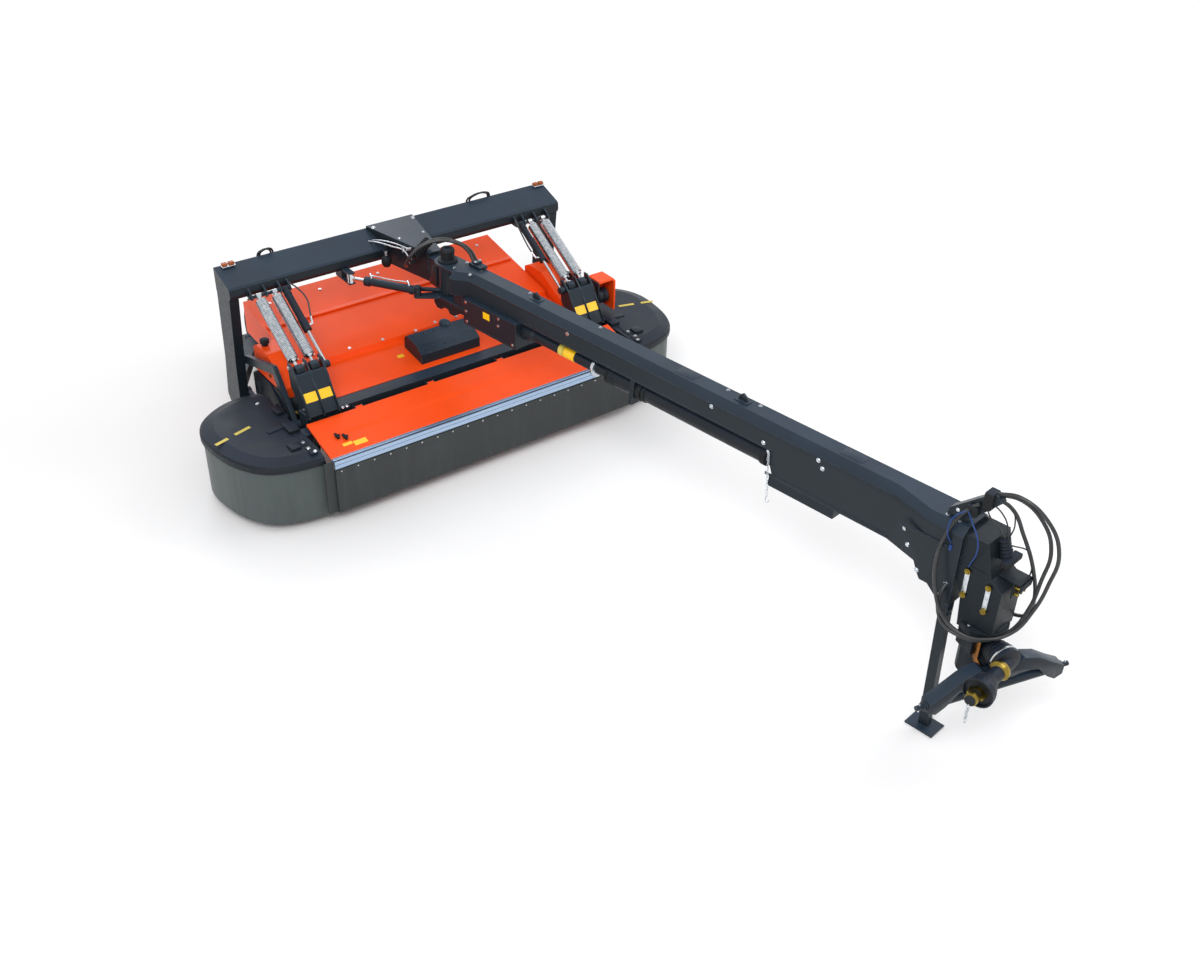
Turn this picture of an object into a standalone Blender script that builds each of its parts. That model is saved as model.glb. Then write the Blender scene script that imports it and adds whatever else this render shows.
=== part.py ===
"""Trailed disc mower conditioner: portal frame, parallelogram head, swinging drawbar."""
import math

import bmesh
import bpy
from mathutils import Matrix, Vector

# Driving sizes in metres. +X is the machine's left, -Y is forward, z = 0 is the ground.
SEAT = 0.0003            # running gap between pieces that touch
PIN_PLAY = 0.0006        # radial play of a pin in its bore
OPEN_PLAY = 0.006        # play where a linkage is opened, which its drift uses
OVERRUN = 0.02           # how far a cutter passes its wall
PLATE = 0.012            # common steel plate
RIB = 0.014

# Widths run inwards from the portal's legs: each piece is set off from the one outside it.
BEAM_HALF = 1.67         # half width over the portal's legs
LEG_WIDE = 0.085
LINK_GAP = 0.006
LINK_WIDE = 0.045
LINK_OUTER_X = BEAM_HALF - LEG_WIDE - LINK_GAP
HEAD_GAP = 0.014
TUBE_HALF = LINK_OUTER_X - LINK_WIDE - HEAD_GAP
PLATE_INSET = 0.10
END_PLATE = 0.03
PLATE_IN_X = TUBE_HALF - PLATE_INSET         # inner face of the head's end plates
PLATE_OUT_X = PLATE_IN_X + END_PLATE
ROLL_GAP = 0.04
ROLL_HALF = PLATE_IN_X - ROLL_GAP
GUARD_INSET = 0.09
GUARD_OVER = 0.05
GUARD_IN_X = PLATE_IN_X - GUARD_INSET        # orange drive guards at both ends
GUARD_OUT_X = PLATE_OUT_X + GUARD_OVER
HOOD_GAP = 0.03
HOOD_HALF = GUARD_IN_X - HOOD_GAP
DECK_INSET = 0.12
DECK_HALF = BEAM_HALF - DECK_INSET           # half width of the front deck
COVER_GAP = 0.05
COVER_WIDE = 0.70
COVER_IN_X = DECK_HALF + COVER_GAP
COVER_OUT_X = COVER_IN_X + COVER_WIDE
SPRING_RADIUS = 0.047
SPRING_INSET = 0.075
SPRING_PITCH = 0.145
SPRING_GAP = 0.016
SPRING_X = (TUBE_HALF - SPRING_INSET - SPRING_PITCH, TUBE_HALF - SPRING_INSET)
TOWER_IN_X = SPRING_X[0] - SPRING_RADIUS - SPRING_GAP
TOWER_OUT_X = SPRING_X[1] + SPRING_RADIUS + SPRING_GAP
LIFT_GAP = 0.037
LIFT_X = TOWER_IN_X - LIFT_GAP

DECK_FRONT_Y = -1.38
DECK_HINGE_Y = -0.93
DECK_FRONT_Z = 0.61
DECK_HINGE_Z = 0.70
DECK_SKIN = 0.02
CREASE_RISE = 0.018
HINGE_SHARES = (-0.68, -0.23, 0.23, 0.68)
HINGE_PIN_RADIUS = 0.009
HINGE_EYE_RADIUS = 0.018
HINGE_EYE_HALF = 0.03
HINGE_LUG = 0.01
TRIM_DEEP = 0.06
TRIM_HIGH = 0.08

BEAM_FRONT_Y = 0.02
BEAM_DEEP = 0.29
BEAM_LOW_Z = 1.45
BEAM_HIGH = 0.21

PIVOT_Y = -0.715         # drawbar swing axis, x = 0
HUB_RADIUS = 0.078
HUB_LOW_Z = 1.39
HUB_TOP_Z = 1.66
HUB_CAP_Z = 1.79
HUB_CAP_RADIUS = 0.052
NOSE_TOP_Z = 1.685
NOSE_LOW_Z = 1.42
NOSE_TIP_Y = -0.50
NOSE_REAR_HALF = 0.235
NOSE_TIP_HALF = 0.065

LEG_DEEP = 0.28
LEG_FOOT_Z = 0.33
LEG_FOOT_REAR_Y = 0.43

UPPER_PIN_Y = 0.17
UPPER_PIN_Z = 0.82
LOWER_PIN_Y = 0.22
LOWER_PIN_Z = 0.46
LINK_REACH_Y = 0.92      # forward from a leg pin to its head pin
LINK_DROP_Z = 0.22       # down from a leg pin to its head pin
LINK_HIGH = 0.075
LINK_PIN_RADIUS = 0.02
LINK_BOSS_RADIUS = 0.045
ARM_BEND_Y = -0.46
ARM_BEND_Z = 1.0

WHEEL_X = 0.85
WHEEL_Y = 1.20
TYRE_RADIUS = 0.39
TYRE_WIDE = 0.30
AXLE_RADIUS = 0.03
AXLE_REACH = 0.13
WHEEL_ARM_HIGH = 0.12
WHEEL_ARM_WIDE = 0.10

TUBE_REAR_Y = -0.76      # head's main tube
TUBE_SIZE = 0.14
TUBE_TOP_Z = 0.745
HEAD_REAR_Y = 0.18

TOWER_TOP_Y = -0.66
TOWER_TOP_Z = 1.10
TOWER_FOOT_Y = -0.95

COVER_FRONT_Y = -1.38
COVER_REAR_Y = -0.10
COVER_RIM_Z = 0.58
COVER_LIP = 0.04
COVER_SLOPE = 0.12
COVER_DOME = 0.09
SKIRT_LOW_Z = 0.08
SKIRT_THICK = 0.02
CURTAIN_LOW_Z = 0.11
CURTAIN_THICK = 0.02
STAY_Y = ((-0.90, -0.84), (-0.61, -0.55))   # stays that carry the side covers
STAY_HIGH = 0.03

CUTTER_Y = -1.11
CUTTER_DEEP = 0.22
CUTTER_LOW_Z = 0.035
CUTTER_TOP_Z = 0.095
DISC_COUNT = 9
DISC_PITCH = 2 * COVER_IN_X / (DISC_COUNT - 1)   # the end discs turn under the covers' inner edges
DISC_LONG = 0.165
DISC_SHORT = 0.125
DISC_HIGH = 0.055
KNIFE_GAP = 0.018
KNIFE_REACH = min(DISC_PITCH - DISC_SHORT, CUTTER_Y - COVER_FRONT_Y - SKIRT_THICK * 2) - KNIFE_GAP
KNIFE_WIDE = 0.045
KNIFE_THICK = 0.006

ROLL_RADIUS = 0.115
ROLL_ROOT = 0.092
ROLL_LOW_Y = -0.44
ROLL_LOW_Z = 0.32
ROLL_TOP_Y = -0.32
ROLL_TOP_Z = 0.555
ROLL_STUB = 0.03
ROLL_LOBES = 8

HOOD_SKIN = 0.022
HOOD_FRONT_Y = TUBE_REAR_Y + SEAT
HOOD_REAR_Y = 0.72
HOOD_FRONT_Z = 0.75
HOOD_REAR_Z = 1.06
HOOD_STEP_Y = -0.30
HOOD_STEP_Z = 0.86
HOOD_STEP = 0.05
HOOD_WALL = 0.30
HOOD_WALL_Z = 0.70
HOOD_LIP = 0.08

CAP_HALF = 0.30           # black cover over the head's input gearbox
CAP_FRONT_Y = -0.70
CAP_REAR_Y = -0.40
CAP_TOP_Z = 0.93
CAP_EDGE = 0.04
CASE_FRONT_Y = -0.52      # roll drive case on the right end plate
CASE_REAR_Y = 0.16
CASE_LOW_Z = 0.24
CASE_TOP_Z = 0.72
CASE_THICK = 0.06
CASE_BUMP_RADIUS = 0.065
GUARD_FRONT_Y = -0.52
GUARD_REAR_Y = 0.10
GUARD_LOW_Z = TUBE_TOP_Z - PLATE + SEAT * 2
GUARD_TOP_Z = 1.0
DRUM_Y = -0.66            # belt drum at the left end, under its own guard
DRUM_Z = 0.86
DRUM_RADIUS = 0.072
DRUM_LONG = 0.15
DRUM_GUARD_WIDE = 0.19
DRUM_GUARD_HALF = 0.09
DRUM_GUARD_LOW_Z = 0.72
DRUM_GUARD_TOP_Z = 1.05

SPRING_TOP_Y = -0.03
SPRING_TOP_Z = 1.475
SPRING_LOW_Y = -0.655
SPRING_LOW_Z = 1.10
SPRING_PIN_RADIUS = 0.014
SPRING_EYE_RADIUS = 0.026
SPRING_EYE_WIDE = 0.05
LIFT_LOW_Y = -0.70
LIFT_LOW_Z = 1.06
LIFT_BARREL_RADIUS = 0.032
LIFT_ROD_RADIUS = 0.014
LIFT_BARREL_LONG = 0.44
LIFT_EYE_WIDE = 0.05
LIFT_EYE_RADIUS = 0.031
LIFT_STROKE = 0.12         # free bore behind the rod at rest

DRAWBAR_ANGLE = math.radians(8.6)
DRAWBAR_REAR = 0.20      # places along the drawbar run forward from its pivot
DRAWBAR_FRONT = 5.17
DRAWBAR_HALF = 0.158
DRAWBAR_TOP_HALF = 0.105
DRAWBAR_TOP_Z = 1.70
DRAWBAR_SHOULDER_Z = 1.645
DRAWBAR_LOW_Z = 1.50
DEEP_START = 3.55
DEEP_LOW_Z = 1.29
FRONT_LOW_Z = 1.09
CLEVIS_RADIUS = 0.115
CLEVIS_PLATE = 0.024
CLEVIS_LOW_Z = HUB_LOW_Z - CLEVIS_PLATE - PLATE / 2

SHAFT_Z = 1.40
SHAFT_REAR_RADIUS = 0.05
SHAFT_FRONT_RADIUS = 0.07
HANGER_AT = 2.25
HANGER_THICK = 0.04
HANGER_HALF = 0.10
TUNNEL_START = 3.60
TUNNEL_END = 4.17
TUNNEL_HALF = 0.09
TUNNEL_LOW_Z = 1.225
BOX_START = 0.34
BOX_END = 0.99
BOX_HALF = 0.13
BOX_LOW_Z = 1.27
PIVOT_BOX_REAR = -0.10
PIVOT_BOX_HALF = 0.09
PIVOT_BOX_LOW_Z = 1.25
HOLDER_START = 4.99      # hose holder on the drawbar's front end
HOLDER_LONG = 0.34
HOLDER_HIGH = 0.29
HOLDER_X = (-0.08, -0.02)

ARM_PIN_RADIUS = 0.27
ARM_PIN_ANGLE = math.radians(155)
SWING_ROD_X = -0.60
SWING_ROD_Y = -0.06
SWING_EYE_HALF = 0.042
SWING_Z = CLEVIS_LOW_Z + CLEVIS_PLATE - PLATE / 4 + SEAT + SWING_EYE_HALF
SWING_BARREL_RADIUS = 0.036
SWING_ROD_RADIUS = 0.016
SWING_BARREL_LONG = 0.50
SWING_EYE_RADIUS = 0.03
SWING_PIN_RADIUS = 0.014
SWING_STROKE = 0.14      # free bore behind the rod at rest

HITCH_AT = 5.36
HITCH_YAW = math.radians(-22.8)
GEAR_HALF = 0.13
GEAR_LONG = 0.32
GEAR_TOP_Z = 1.67
GEAR_FLANGE_Z = 0.97
GEAR_FLANGE_RADIUS = 0.165
GEAR_FLANGE_THICK = 0.04
LOW_GEAR_Z = 0.60
LOW_GEAR_RADIUS = 0.12
LOW_GEAR_HALF = 0.09
PTO_Z = 0.87
PTO_KNEE = 0.17
PTO_FOLD = math.radians(65)
PTO_LONG = 0.22
PTO_TIP = 0.26
PTO_CONE_RADIUS = 0.105
PTO_TUBE_RADIUS = 0.05
CROSSBAR_REACH = 0.22
CROSSBAR_HALF = 0.50
CROSSBAR_PIN_HALF = 0.60
CROSSBAR_PIN_RADIUS = 0.018
CROSSBAR_Z = 0.655
CROSSBAR_DROP = 0.04
CROSSBAR_SIZE = 0.10

STAND_AT = 5.14
STAND_ACROSS = -0.12
STAND_WIDE = 0.06
STAND_DEEP = 0.07
STAND_LUG = 0.03
STAND_HINGE_Z = 1.03
STAND_PIN_RADIUS = 0.013
STAND_EYE_RADIUS = 0.034
FOOT_LONG = 0.22
FOOT_WIDE = 0.16
FOOT_THICK = 0.014
STAND_LEAN = 0.03        # foot ahead of its hinge, so the load holds it on its stop

MERGE = 0.00002          # corners nearer than this are one, after a boolean
WELD = 0.0001            # and after a spin
SIDES = 16
PIN_SIDES = 16
EYE_SIDES = 12
WHEEL_SIDES = 28

FINISHES = {
    "slate paint": ("3B464E", 0.45, 0.0),
    "orange paint": ("FF5A28", 0.4, 0.0),
    "black plastic": ("22262B", 0.55, 0.0),
    "rubber": ("2B3030", 0.8, 0.0),
    "tyre rubber": ("1C1D1E", 0.85, 0.0),
    "skirt cloth": ("46504F", 0.85, 0.0),
    "silver trim": ("AEB4BA", 0.35, 0.8),
    "zinc": ("B8BCC0", 0.35, 0.9),
    "chrome": ("D8DADC", 0.12, 1.0),
    "gold zinc": ("A89040", 0.35, 0.9),
    "blade steel": ("7C7F82", 0.4, 0.9),
    "rim paint": ("C9CCCE", 0.4, 0.2),
}


def clear_scene():
    for old in list(bpy.data.objects):
        bpy.data.objects.remove(old, do_unlink=True)


def finish_of(name):
    """The material of one finish, made the first time it is asked for."""
    found = bpy.data.materials.get(name)
    if found:
        return found
    code, rough, metal = FINISHES[name]
    found = bpy.data.materials.new(name)
    found.use_nodes = True
    shader = found.node_tree.nodes["Principled BSDF"]
    levels = [int(code[i:i + 2], 16) / 255 for i in (0, 2, 4)]
    linear = [v / 12.92 if v <= 0.04045 else ((v + 0.055) / 1.055) ** 2.4 for v in levels]
    shader.inputs["Base Color"].default_value = (*linear, 1)
    shader.inputs["Roughness"].default_value = rough
    shader.inputs["Metallic"].default_value = metal
    found.diffuse_color = (*linear, 1)
    return found


def group(name, carrier, at, turn=0.0):
    """An empty on a joint's axis. A turned group's pieces use its own frame."""
    hook = bpy.data.objects.new(name, None)
    bpy.context.scene.collection.objects.link(hook)
    hook.parent = carrier
    home = Vector(carrier["home"]) if carrier else Vector()
    hook.location = Vector(at) - home
    hook.rotation_euler.z = turn
    hook["home"] = (0.0, 0.0, 0.0) if turn else tuple(at)
    return hook


def node(name, mesh, finish, carrier, at=(0, 0, 0), turn=0.0):
    """A sub-part. Its mesh is drawn about the point at, in its carrier's frame."""
    piece = bpy.data.objects.new(name, mesh)
    bpy.context.scene.collection.objects.link(piece)
    piece.parent = carrier
    piece.location = Vector(at) - Vector(carrier["home"])
    piece.rotation_euler.z = turn
    mesh.name = name
    mesh.materials.clear()
    mesh.materials.append(finish_of(finish))
    return piece


def spread(axis, along, a, b):
    """A point from its place along one axis and the other two coordinates."""
    point = [a, b]
    point.insert(axis, along)
    return Vector(point)


def outline(shares, corner, size):
    """Shares of a size laid off from a corner."""
    return [(corner[0] + a * size[0], corner[1] + b * size[1]) for a, b in shares]


def arc(x, y, radius, start, end, steps):
    """Points along part of a circle."""
    return [(x + radius * math.cos(start + (end - start) * i / steps),
             y + radius * math.sin(start + (end - start) * i / steps)) for i in range(steps + 1)]


def slab(points, axis, low, high):
    """A flat outline pulled along one axis."""
    shape = bmesh.new()
    face = shape.faces.new([shape.verts.new(spread(axis, low, a, b)) for a, b in points])
    grown = bmesh.ops.extrude_face_region(shape, geom=[face])["geom"]
    tops = [v for v in grown if isinstance(v, bmesh.types.BMVert)]
    bmesh.ops.translate(shape, verts=tops, vec=spread(axis, high - low, 0, 0))
    bmesh.ops.recalc_face_normals(shape, faces=shape.faces)
    return shape


def box(across, along, up):
    """A block from its (low, high) pairs in x, y and z."""
    return slab([(a, b) for a, b in zip((along[0], along[1], along[1], along[0]),
                                        (up[0], up[0], up[1], up[1]))], 0, *across)


def aim(start, end):
    """The placing of a shape drawn along +Z so that it runs from start to end."""
    start, end = Vector(start), Vector(end)
    turn = (end - start).to_track_quat("Z", "Y").to_matrix().to_4x4()
    return Matrix.Translation(start) @ turn


def turned(profile, start, end, sides=SIDES):
    """A closed profile of (radius, height) points, spun round the line start to end."""
    shape = bmesh.new()
    verts = [shape.verts.new((radius, 0, high)) for radius, high in profile]
    edges = [shape.edges.new((a, b)) for a, b in zip(verts, verts[1:] + verts[:1])
             if not (a.co.x == 0 and b.co.x == 0)]
    bmesh.ops.spin(shape, geom=verts + edges, cent=(0, 0, 0), axis=(0, 0, 1),
                   angle=math.tau, steps=sides, use_merge=True)
    bmesh.ops.remove_doubles(shape, verts=shape.verts, dist=WELD)
    bmesh.ops.recalc_face_normals(shape, faces=shape.faces)
    shape.transform(aim(start, end))
    return shape


def bar(start, end, radius, sides=SIDES):
    """A round bar between two points."""
    long = (Vector(end) - Vector(start)).length
    return turned([(0, 0), (radius, 0), (radius, long), (0, long)], start, end, sides)


def ring(start, end, outer, inner, sides=SIDES):
    """A round tube between two points."""
    long = (Vector(end) - Vector(start)).length
    return turned([(inner, 0), (outer, 0), (outer, long), (inner, long)], start, end, sides)


def strut(start, end, wide, high):
    """A square-edged bar between two points, its width level."""
    long = (Vector(end) - Vector(start)).length
    shape = box((-wide / 2, wide / 2), (-high / 2, high / 2), (0, long))
    shape.transform(aim(start, end))
    return shape


def softened(points, rounds=2):
    """An open outline with its inner corners cut back, round by round."""
    for _ in range(rounds):
        cut = [points[0]]
        for a, b in zip(points, points[1:]):
            cut += [tuple(p + (q - p) * share for p, q in zip(a, b)) for share in (0.25, 0.75)]
        points = [*cut, points[-1]]
    return points


def loose(shape):
    """A scratch object that holds a shape while booleans are worked out."""
    mesh = bpy.data.meshes.new("scratch")
    shape.to_mesh(mesh)
    shape.free()
    holder = bpy.data.objects.new("scratch", mesh)
    bpy.context.scene.collection.objects.link(holder)
    return holder


def fuse(adds, cuts=(), smooth=35):
    """One closed body from overlapping shapes, less the cuts."""
    first = loose(adds[0])
    scratch = [first]
    for tools, operation in ((adds[1:], "UNION"), (cuts, "DIFFERENCE")):
        if not tools:
            continue
        tray = bpy.data.collections.new("tray")
        for tool in tools:
            scratch.append(loose(tool))
            tray.objects.link(scratch[-1])
        step = first.modifiers.new("join", "BOOLEAN")
        step.operation = operation
        step.solver = "EXACT"
        step.operand_type = "COLLECTION"
        step.collection = tray
    graph = bpy.context.evaluated_depsgraph_get()
    mesh = bpy.data.meshes.new_from_object(first.evaluated_get(graph))
    for holder in scratch:
        bpy.data.objects.remove(holder, do_unlink=True)
    for tray in list(bpy.data.collections):
        bpy.data.collections.remove(tray)
    tidy = bmesh.new()
    tidy.from_mesh(mesh)
    bmesh.ops.remove_doubles(tidy, verts=tidy.verts, dist=MERGE)
    bmesh.ops.dissolve_degenerate(tidy, edges=tidy.edges, dist=MERGE)
    tidy.to_mesh(mesh)
    tidy.free()
    mesh.shade_smooth()
    mesh.set_sharp_from_angle(angle=math.radians(smooth))
    return mesh


# Portal: a folded beam on two legs, with a nose that holds the drawbar's hub.
BEAM_SHARES = ((0, 0.22), (0.05, 0.06), (0.2, 0), (1, 0), (1, 1), (0.97, 1), (0.08, 0.56), (0.02, 0.5))
LEG_SHARES = ((-0.42, 1), (0.56, 1), (0.74, 0.42), (1, 0.06), (0.86, 0), (0.2, 0), (-0.04, 0.08),
              (-0.14, 0.43))


# Spring ears: places across the machine, and a side outline about the spring pin.
EAR_OFF = LIFT_BARREL_RADIUS + RIB * 0.7
EAR_X = (LIFT_X - EAR_OFF, LIFT_X + EAR_OFF, (SPRING_X[0] + SPRING_X[1]) / 2,
         SPRING_X[1] + SPRING_RADIUS + RIB)
EAR_SHARES = ((-0.25, 0), (-0.1, -0.9), (0.25, -1), (1, -0.5), (1, 1.6), (0.35, 2.4), (-0.1, 0.9))


def beam_profile():
    return outline(BEAM_SHARES, (BEAM_FRONT_Y, BEAM_LOW_Z), (BEAM_DEEP, BEAM_HIGH))


def make_portal(root):
    beam_rear = BEAM_FRONT_Y + BEAM_DEEP
    nose = slab([(-NOSE_REAR_HALF, beam_rear - PLATE), (NOSE_REAR_HALF, beam_rear - PLATE),
                 (NOSE_TIP_HALF, NOSE_TIP_Y), (-NOSE_TIP_HALF, NOSE_TIP_Y)],
                2, NOSE_LOW_Z, NOSE_TOP_Z)
    hub = bar((0, PIVOT_Y, HUB_LOW_Z), (0, PIVOT_Y, HUB_TOP_Z), HUB_RADIUS, PIN_SIDES)
    neck = box((-NOSE_TIP_HALF + PLATE / 2, NOSE_TIP_HALF - PLATE / 2),
               (PIVOT_Y, NOSE_TIP_Y + PLATE), (HUB_LOW_Z + PLATE, HUB_TOP_Z - PLATE))
    adds = [slab(beam_profile(), 0, -BEAM_HALF, BEAM_HALF), nose, neck, hub]
    bore = bar((0, PIVOT_Y, HUB_LOW_Z - OVERRUN), (0, PIVOT_Y, HUB_TOP_Z + OVERRUN),
               SWING_EYE_RADIUS + PIN_PLAY, PIN_SIDES)
    ear_y = SWING_ROD_Y
    for z in (SWING_Z + SWING_EYE_HALF, SWING_Z - SWING_EYE_HALF - PLATE):
        adds.append(box((SWING_ROD_X - SWING_EYE_RADIUS, SWING_ROD_X + SWING_EYE_RADIUS),
                        (ear_y - SWING_EYE_RADIUS, BEAM_FRONT_Y + BEAM_DEEP / 2), (z, z + PLATE)))
    adds.append(box((SWING_ROD_X - SWING_EYE_RADIUS, SWING_ROD_X + SWING_EYE_RADIUS),
                    (BEAM_FRONT_Y + SWING_EYE_RADIUS, BEAM_FRONT_Y + BEAM_DEEP / 2),
                    (SWING_Z - SWING_EYE_HALF - PLATE, BEAM_LOW_Z + PLATE)))
    for way in (-1, 1):
        head = SWING_Z + way * (SWING_EYE_HALF + PLATE / 2)
        adds.append(bar((SWING_ROD_X, SWING_ROD_Y, head), (SWING_ROD_X, SWING_ROD_Y, head + way * PLATE),
                        SWING_PIN_RADIUS, EYE_SIDES))
    for side in (-1, 1):
        for x in EAR_X:
            adds.append(slab(outline(EAR_SHARES, (SPRING_TOP_Y, SPRING_TOP_Z),
                                     (BEAM_FRONT_Y + BEAM_DEEP / 3 - SPRING_TOP_Y, SPRING_EYE_RADIUS)), 0,
                             side * x - RIB / 2, side * x + RIB / 2))
        ends = [(side * x, SPRING_TOP_Y, SPRING_TOP_Z) for x in (EAR_X[0], EAR_X[-1])]
        adds.append(bar(*ends, SPRING_PIN_RADIUS, EYE_SIDES))
    node("portal_beam", fuse(adds, [bore]), "slate paint", root)


def make_legs(root):
    for side, word in ((1, "left"), (-1, "right")):
        outer, inner = side * BEAM_HALF, side * (BEAM_HALF - LEG_WIDE)
        low, high = min(outer, inner), max(outer, inner)
        shape = slab(outline(LEG_SHARES, (UPPER_PIN_Y - PLATE, LEG_FOOT_Z),
                             (LEG_FOOT_REAR_Y - UPPER_PIN_Y, BEAM_LOW_Z - SEAT - LEG_FOOT_Z)),
                     0, low, high)
        hub_x = side * (WHEEL_X + TYRE_WIDE / 2 + PLATE)
        axle_z = TYRE_RADIUS
        arm = strut((side * (BEAM_HALF - LEG_WIDE / 2), LEG_FOOT_REAR_Y - WHEEL_ARM_WIDE, axle_z + PLATE),
                    (hub_x + side * WHEEL_ARM_WIDE / 2, WHEEL_Y, axle_z), WHEEL_ARM_WIDE, WHEEL_ARM_HIGH)
        head = bar((hub_x + side * WHEEL_ARM_WIDE * 1.5, WHEEL_Y, axle_z), (hub_x, WHEEL_Y, axle_z),
                   WHEEL_ARM_HIGH / 2 + PLATE)
        stub = bar((hub_x + side * WHEEL_ARM_WIDE / 2, WHEEL_Y, axle_z),
                   (hub_x - side * AXLE_REACH, WHEEL_Y, axle_z), AXLE_RADIUS)
        adds = [shape, arm, head, stub]
        for y, z in ((UPPER_PIN_Y, UPPER_PIN_Z), (LOWER_PIN_Y, LOWER_PIN_Z)):
            adds.append(bar((inner + side * LEG_WIDE / 2, y, z),
                            (side * (LINK_OUTER_X - LINK_WIDE - PLATE / 2), y, z), LINK_PIN_RADIUS, PIN_SIDES))
        node("leg_" + word, fuse(adds), "slate paint", root)


# Wheels.
TYRE_SHARES = ((0.55, 0.06), (0.62, 0), (0.9, 0), (0.98, 0.08), (1, 0.2), (1, 0.8), (0.98, 0.92),
               (0.9, 1), (0.62, 1), (0.55, 0.94))


def make_wheels(root):
    for side, word in ((1, "left"), (-1, "right")):
        hook = group("wheel_" + word, root, (side * WHEEL_X, WHEEL_Y, TYRE_RADIUS))
        start = (-TYRE_WIDE / 2, 0, 0)
        end = (TYRE_WIDE / 2, 0, 0)
        tyre = [(radius * TYRE_RADIUS, at * TYRE_WIDE) for radius, at in TYRE_SHARES]
        node("tyre_" + word, fuse([turned(tyre, start, end, WHEEL_SIDES)]), "tyre rubber", hook,
             hook["home"])
        lip = TYRE_RADIUS * TYRE_SHARES[0][0] - SEAT
        half = TYRE_WIDE / 2
        inset = TYRE_WIDE * TYRE_SHARES[0][1] + PLATE
        barrel = ring((-half + inset, 0, 0), (half - inset, 0, 0), lip, lip - PLATE, WHEEL_SIDES)
        plate = turned([(AXLE_RADIUS + PIN_PLAY, -AXLE_RADIUS), (AXLE_RADIUS * 2, -AXLE_RADIUS),
                        (AXLE_RADIUS * 2.4, 0), (lip - PLATE / 2, 0), (lip - PLATE / 2, PLATE),
                        (AXLE_RADIUS * 2.4, PLATE), (AXLE_RADIUS * 2, AXLE_RADIUS * 2),
                        (AXLE_RADIUS + PIN_PLAY, AXLE_RADIUS * 2)],
                       (side * AXLE_RADIUS / 2, 0, 0), (side, 0, 0), WHEEL_SIDES)
        node("rim_" + word, fuse([barrel, plate]), "rim paint", hook, hook["home"])


# Parallelogram links.
def link_front(y, z):
    return y - LINK_REACH_Y, z - LINK_DROP_Z


def make_links(root):
    lower = group("lower_links", root, (0, LOWER_PIN_Y, LOWER_PIN_Z))
    upper = group("upper_links", root, (0, UPPER_PIN_Y, UPPER_PIN_Z))
    for side, word in ((1, "left"), (-1, "right")):
        inner_x = side * (LINK_OUTER_X - LINK_WIDE)
        outer_x = side * LINK_OUTER_X
        middle = side * (LINK_OUTER_X - LINK_WIDE / 2)
        bore_in = side * (LINK_OUTER_X - LINK_WIDE - OVERRUN)
        bore_out = side * (LINK_OUTER_X + OVERRUN)
        for hook, name, rear, bend in (
                (lower, "lower_link_", (LOWER_PIN_Y, LOWER_PIN_Z), None),
                (upper, "upper_link_", (UPPER_PIN_Y, UPPER_PIN_Z), (ARM_BEND_Y, ARM_BEND_Z))):
            front = link_front(*rear)
            stops = [rear, bend, front] if bend else [rear, front]
            adds = [bar((inner_x, *stop), (outer_x + side * (BEAM_HALF - LEG_WIDE - LINK_OUTER_X - SEAT)
                                           if stop == rear else outer_x, *stop), LINK_BOSS_RADIUS, PIN_SIDES)
                    for stop in (rear, front)]
            for a, b in zip(stops, stops[1:]):
                adds.append(strut((middle, *a), (middle, *b), LINK_WIDE - PLATE / 2, LINK_HIGH))
            if bend:
                adds.append(bar((inner_x + side * PLATE / 4, *bend), (outer_x - side * PLATE / 4, *bend),
                                LINK_HIGH / 2))
            cuts = [bar((bore_in, *stop), (bore_out, *stop), LINK_PIN_RADIUS + PIN_PLAY, PIN_SIDES)
                    for stop in (rear, front)]
            node(name + word, fuse(adds, cuts), "slate paint", hook)
    return lower


# Head: main tube, end plates and the towers that the springs pull on.
END_PLATE_SHARES = ((0, 0.82), (0, 0.55), (0.14, 0), (0.3, 0), (0.62, 0.12), (1, 0.42), (1, 0.8), (0.7, 1),
                    (0.14, 1))
TOWER_SHARES = ((0, 0), (0.12, -0.06), (0.6, -0.06), (0.6, 0.16), (1.02, 0.5), (1.1, 1.1), (0.94, 1.1),
                (0.62, 0.86))
TOWER_SKIN_SHARES = ((0.05, 0.02), (0.12, 0.02), (0.74, 0.9), (0.66, 0.9))


def hinge_places():
    return [share * DECK_HALF for share in HINGE_SHARES]


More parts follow.
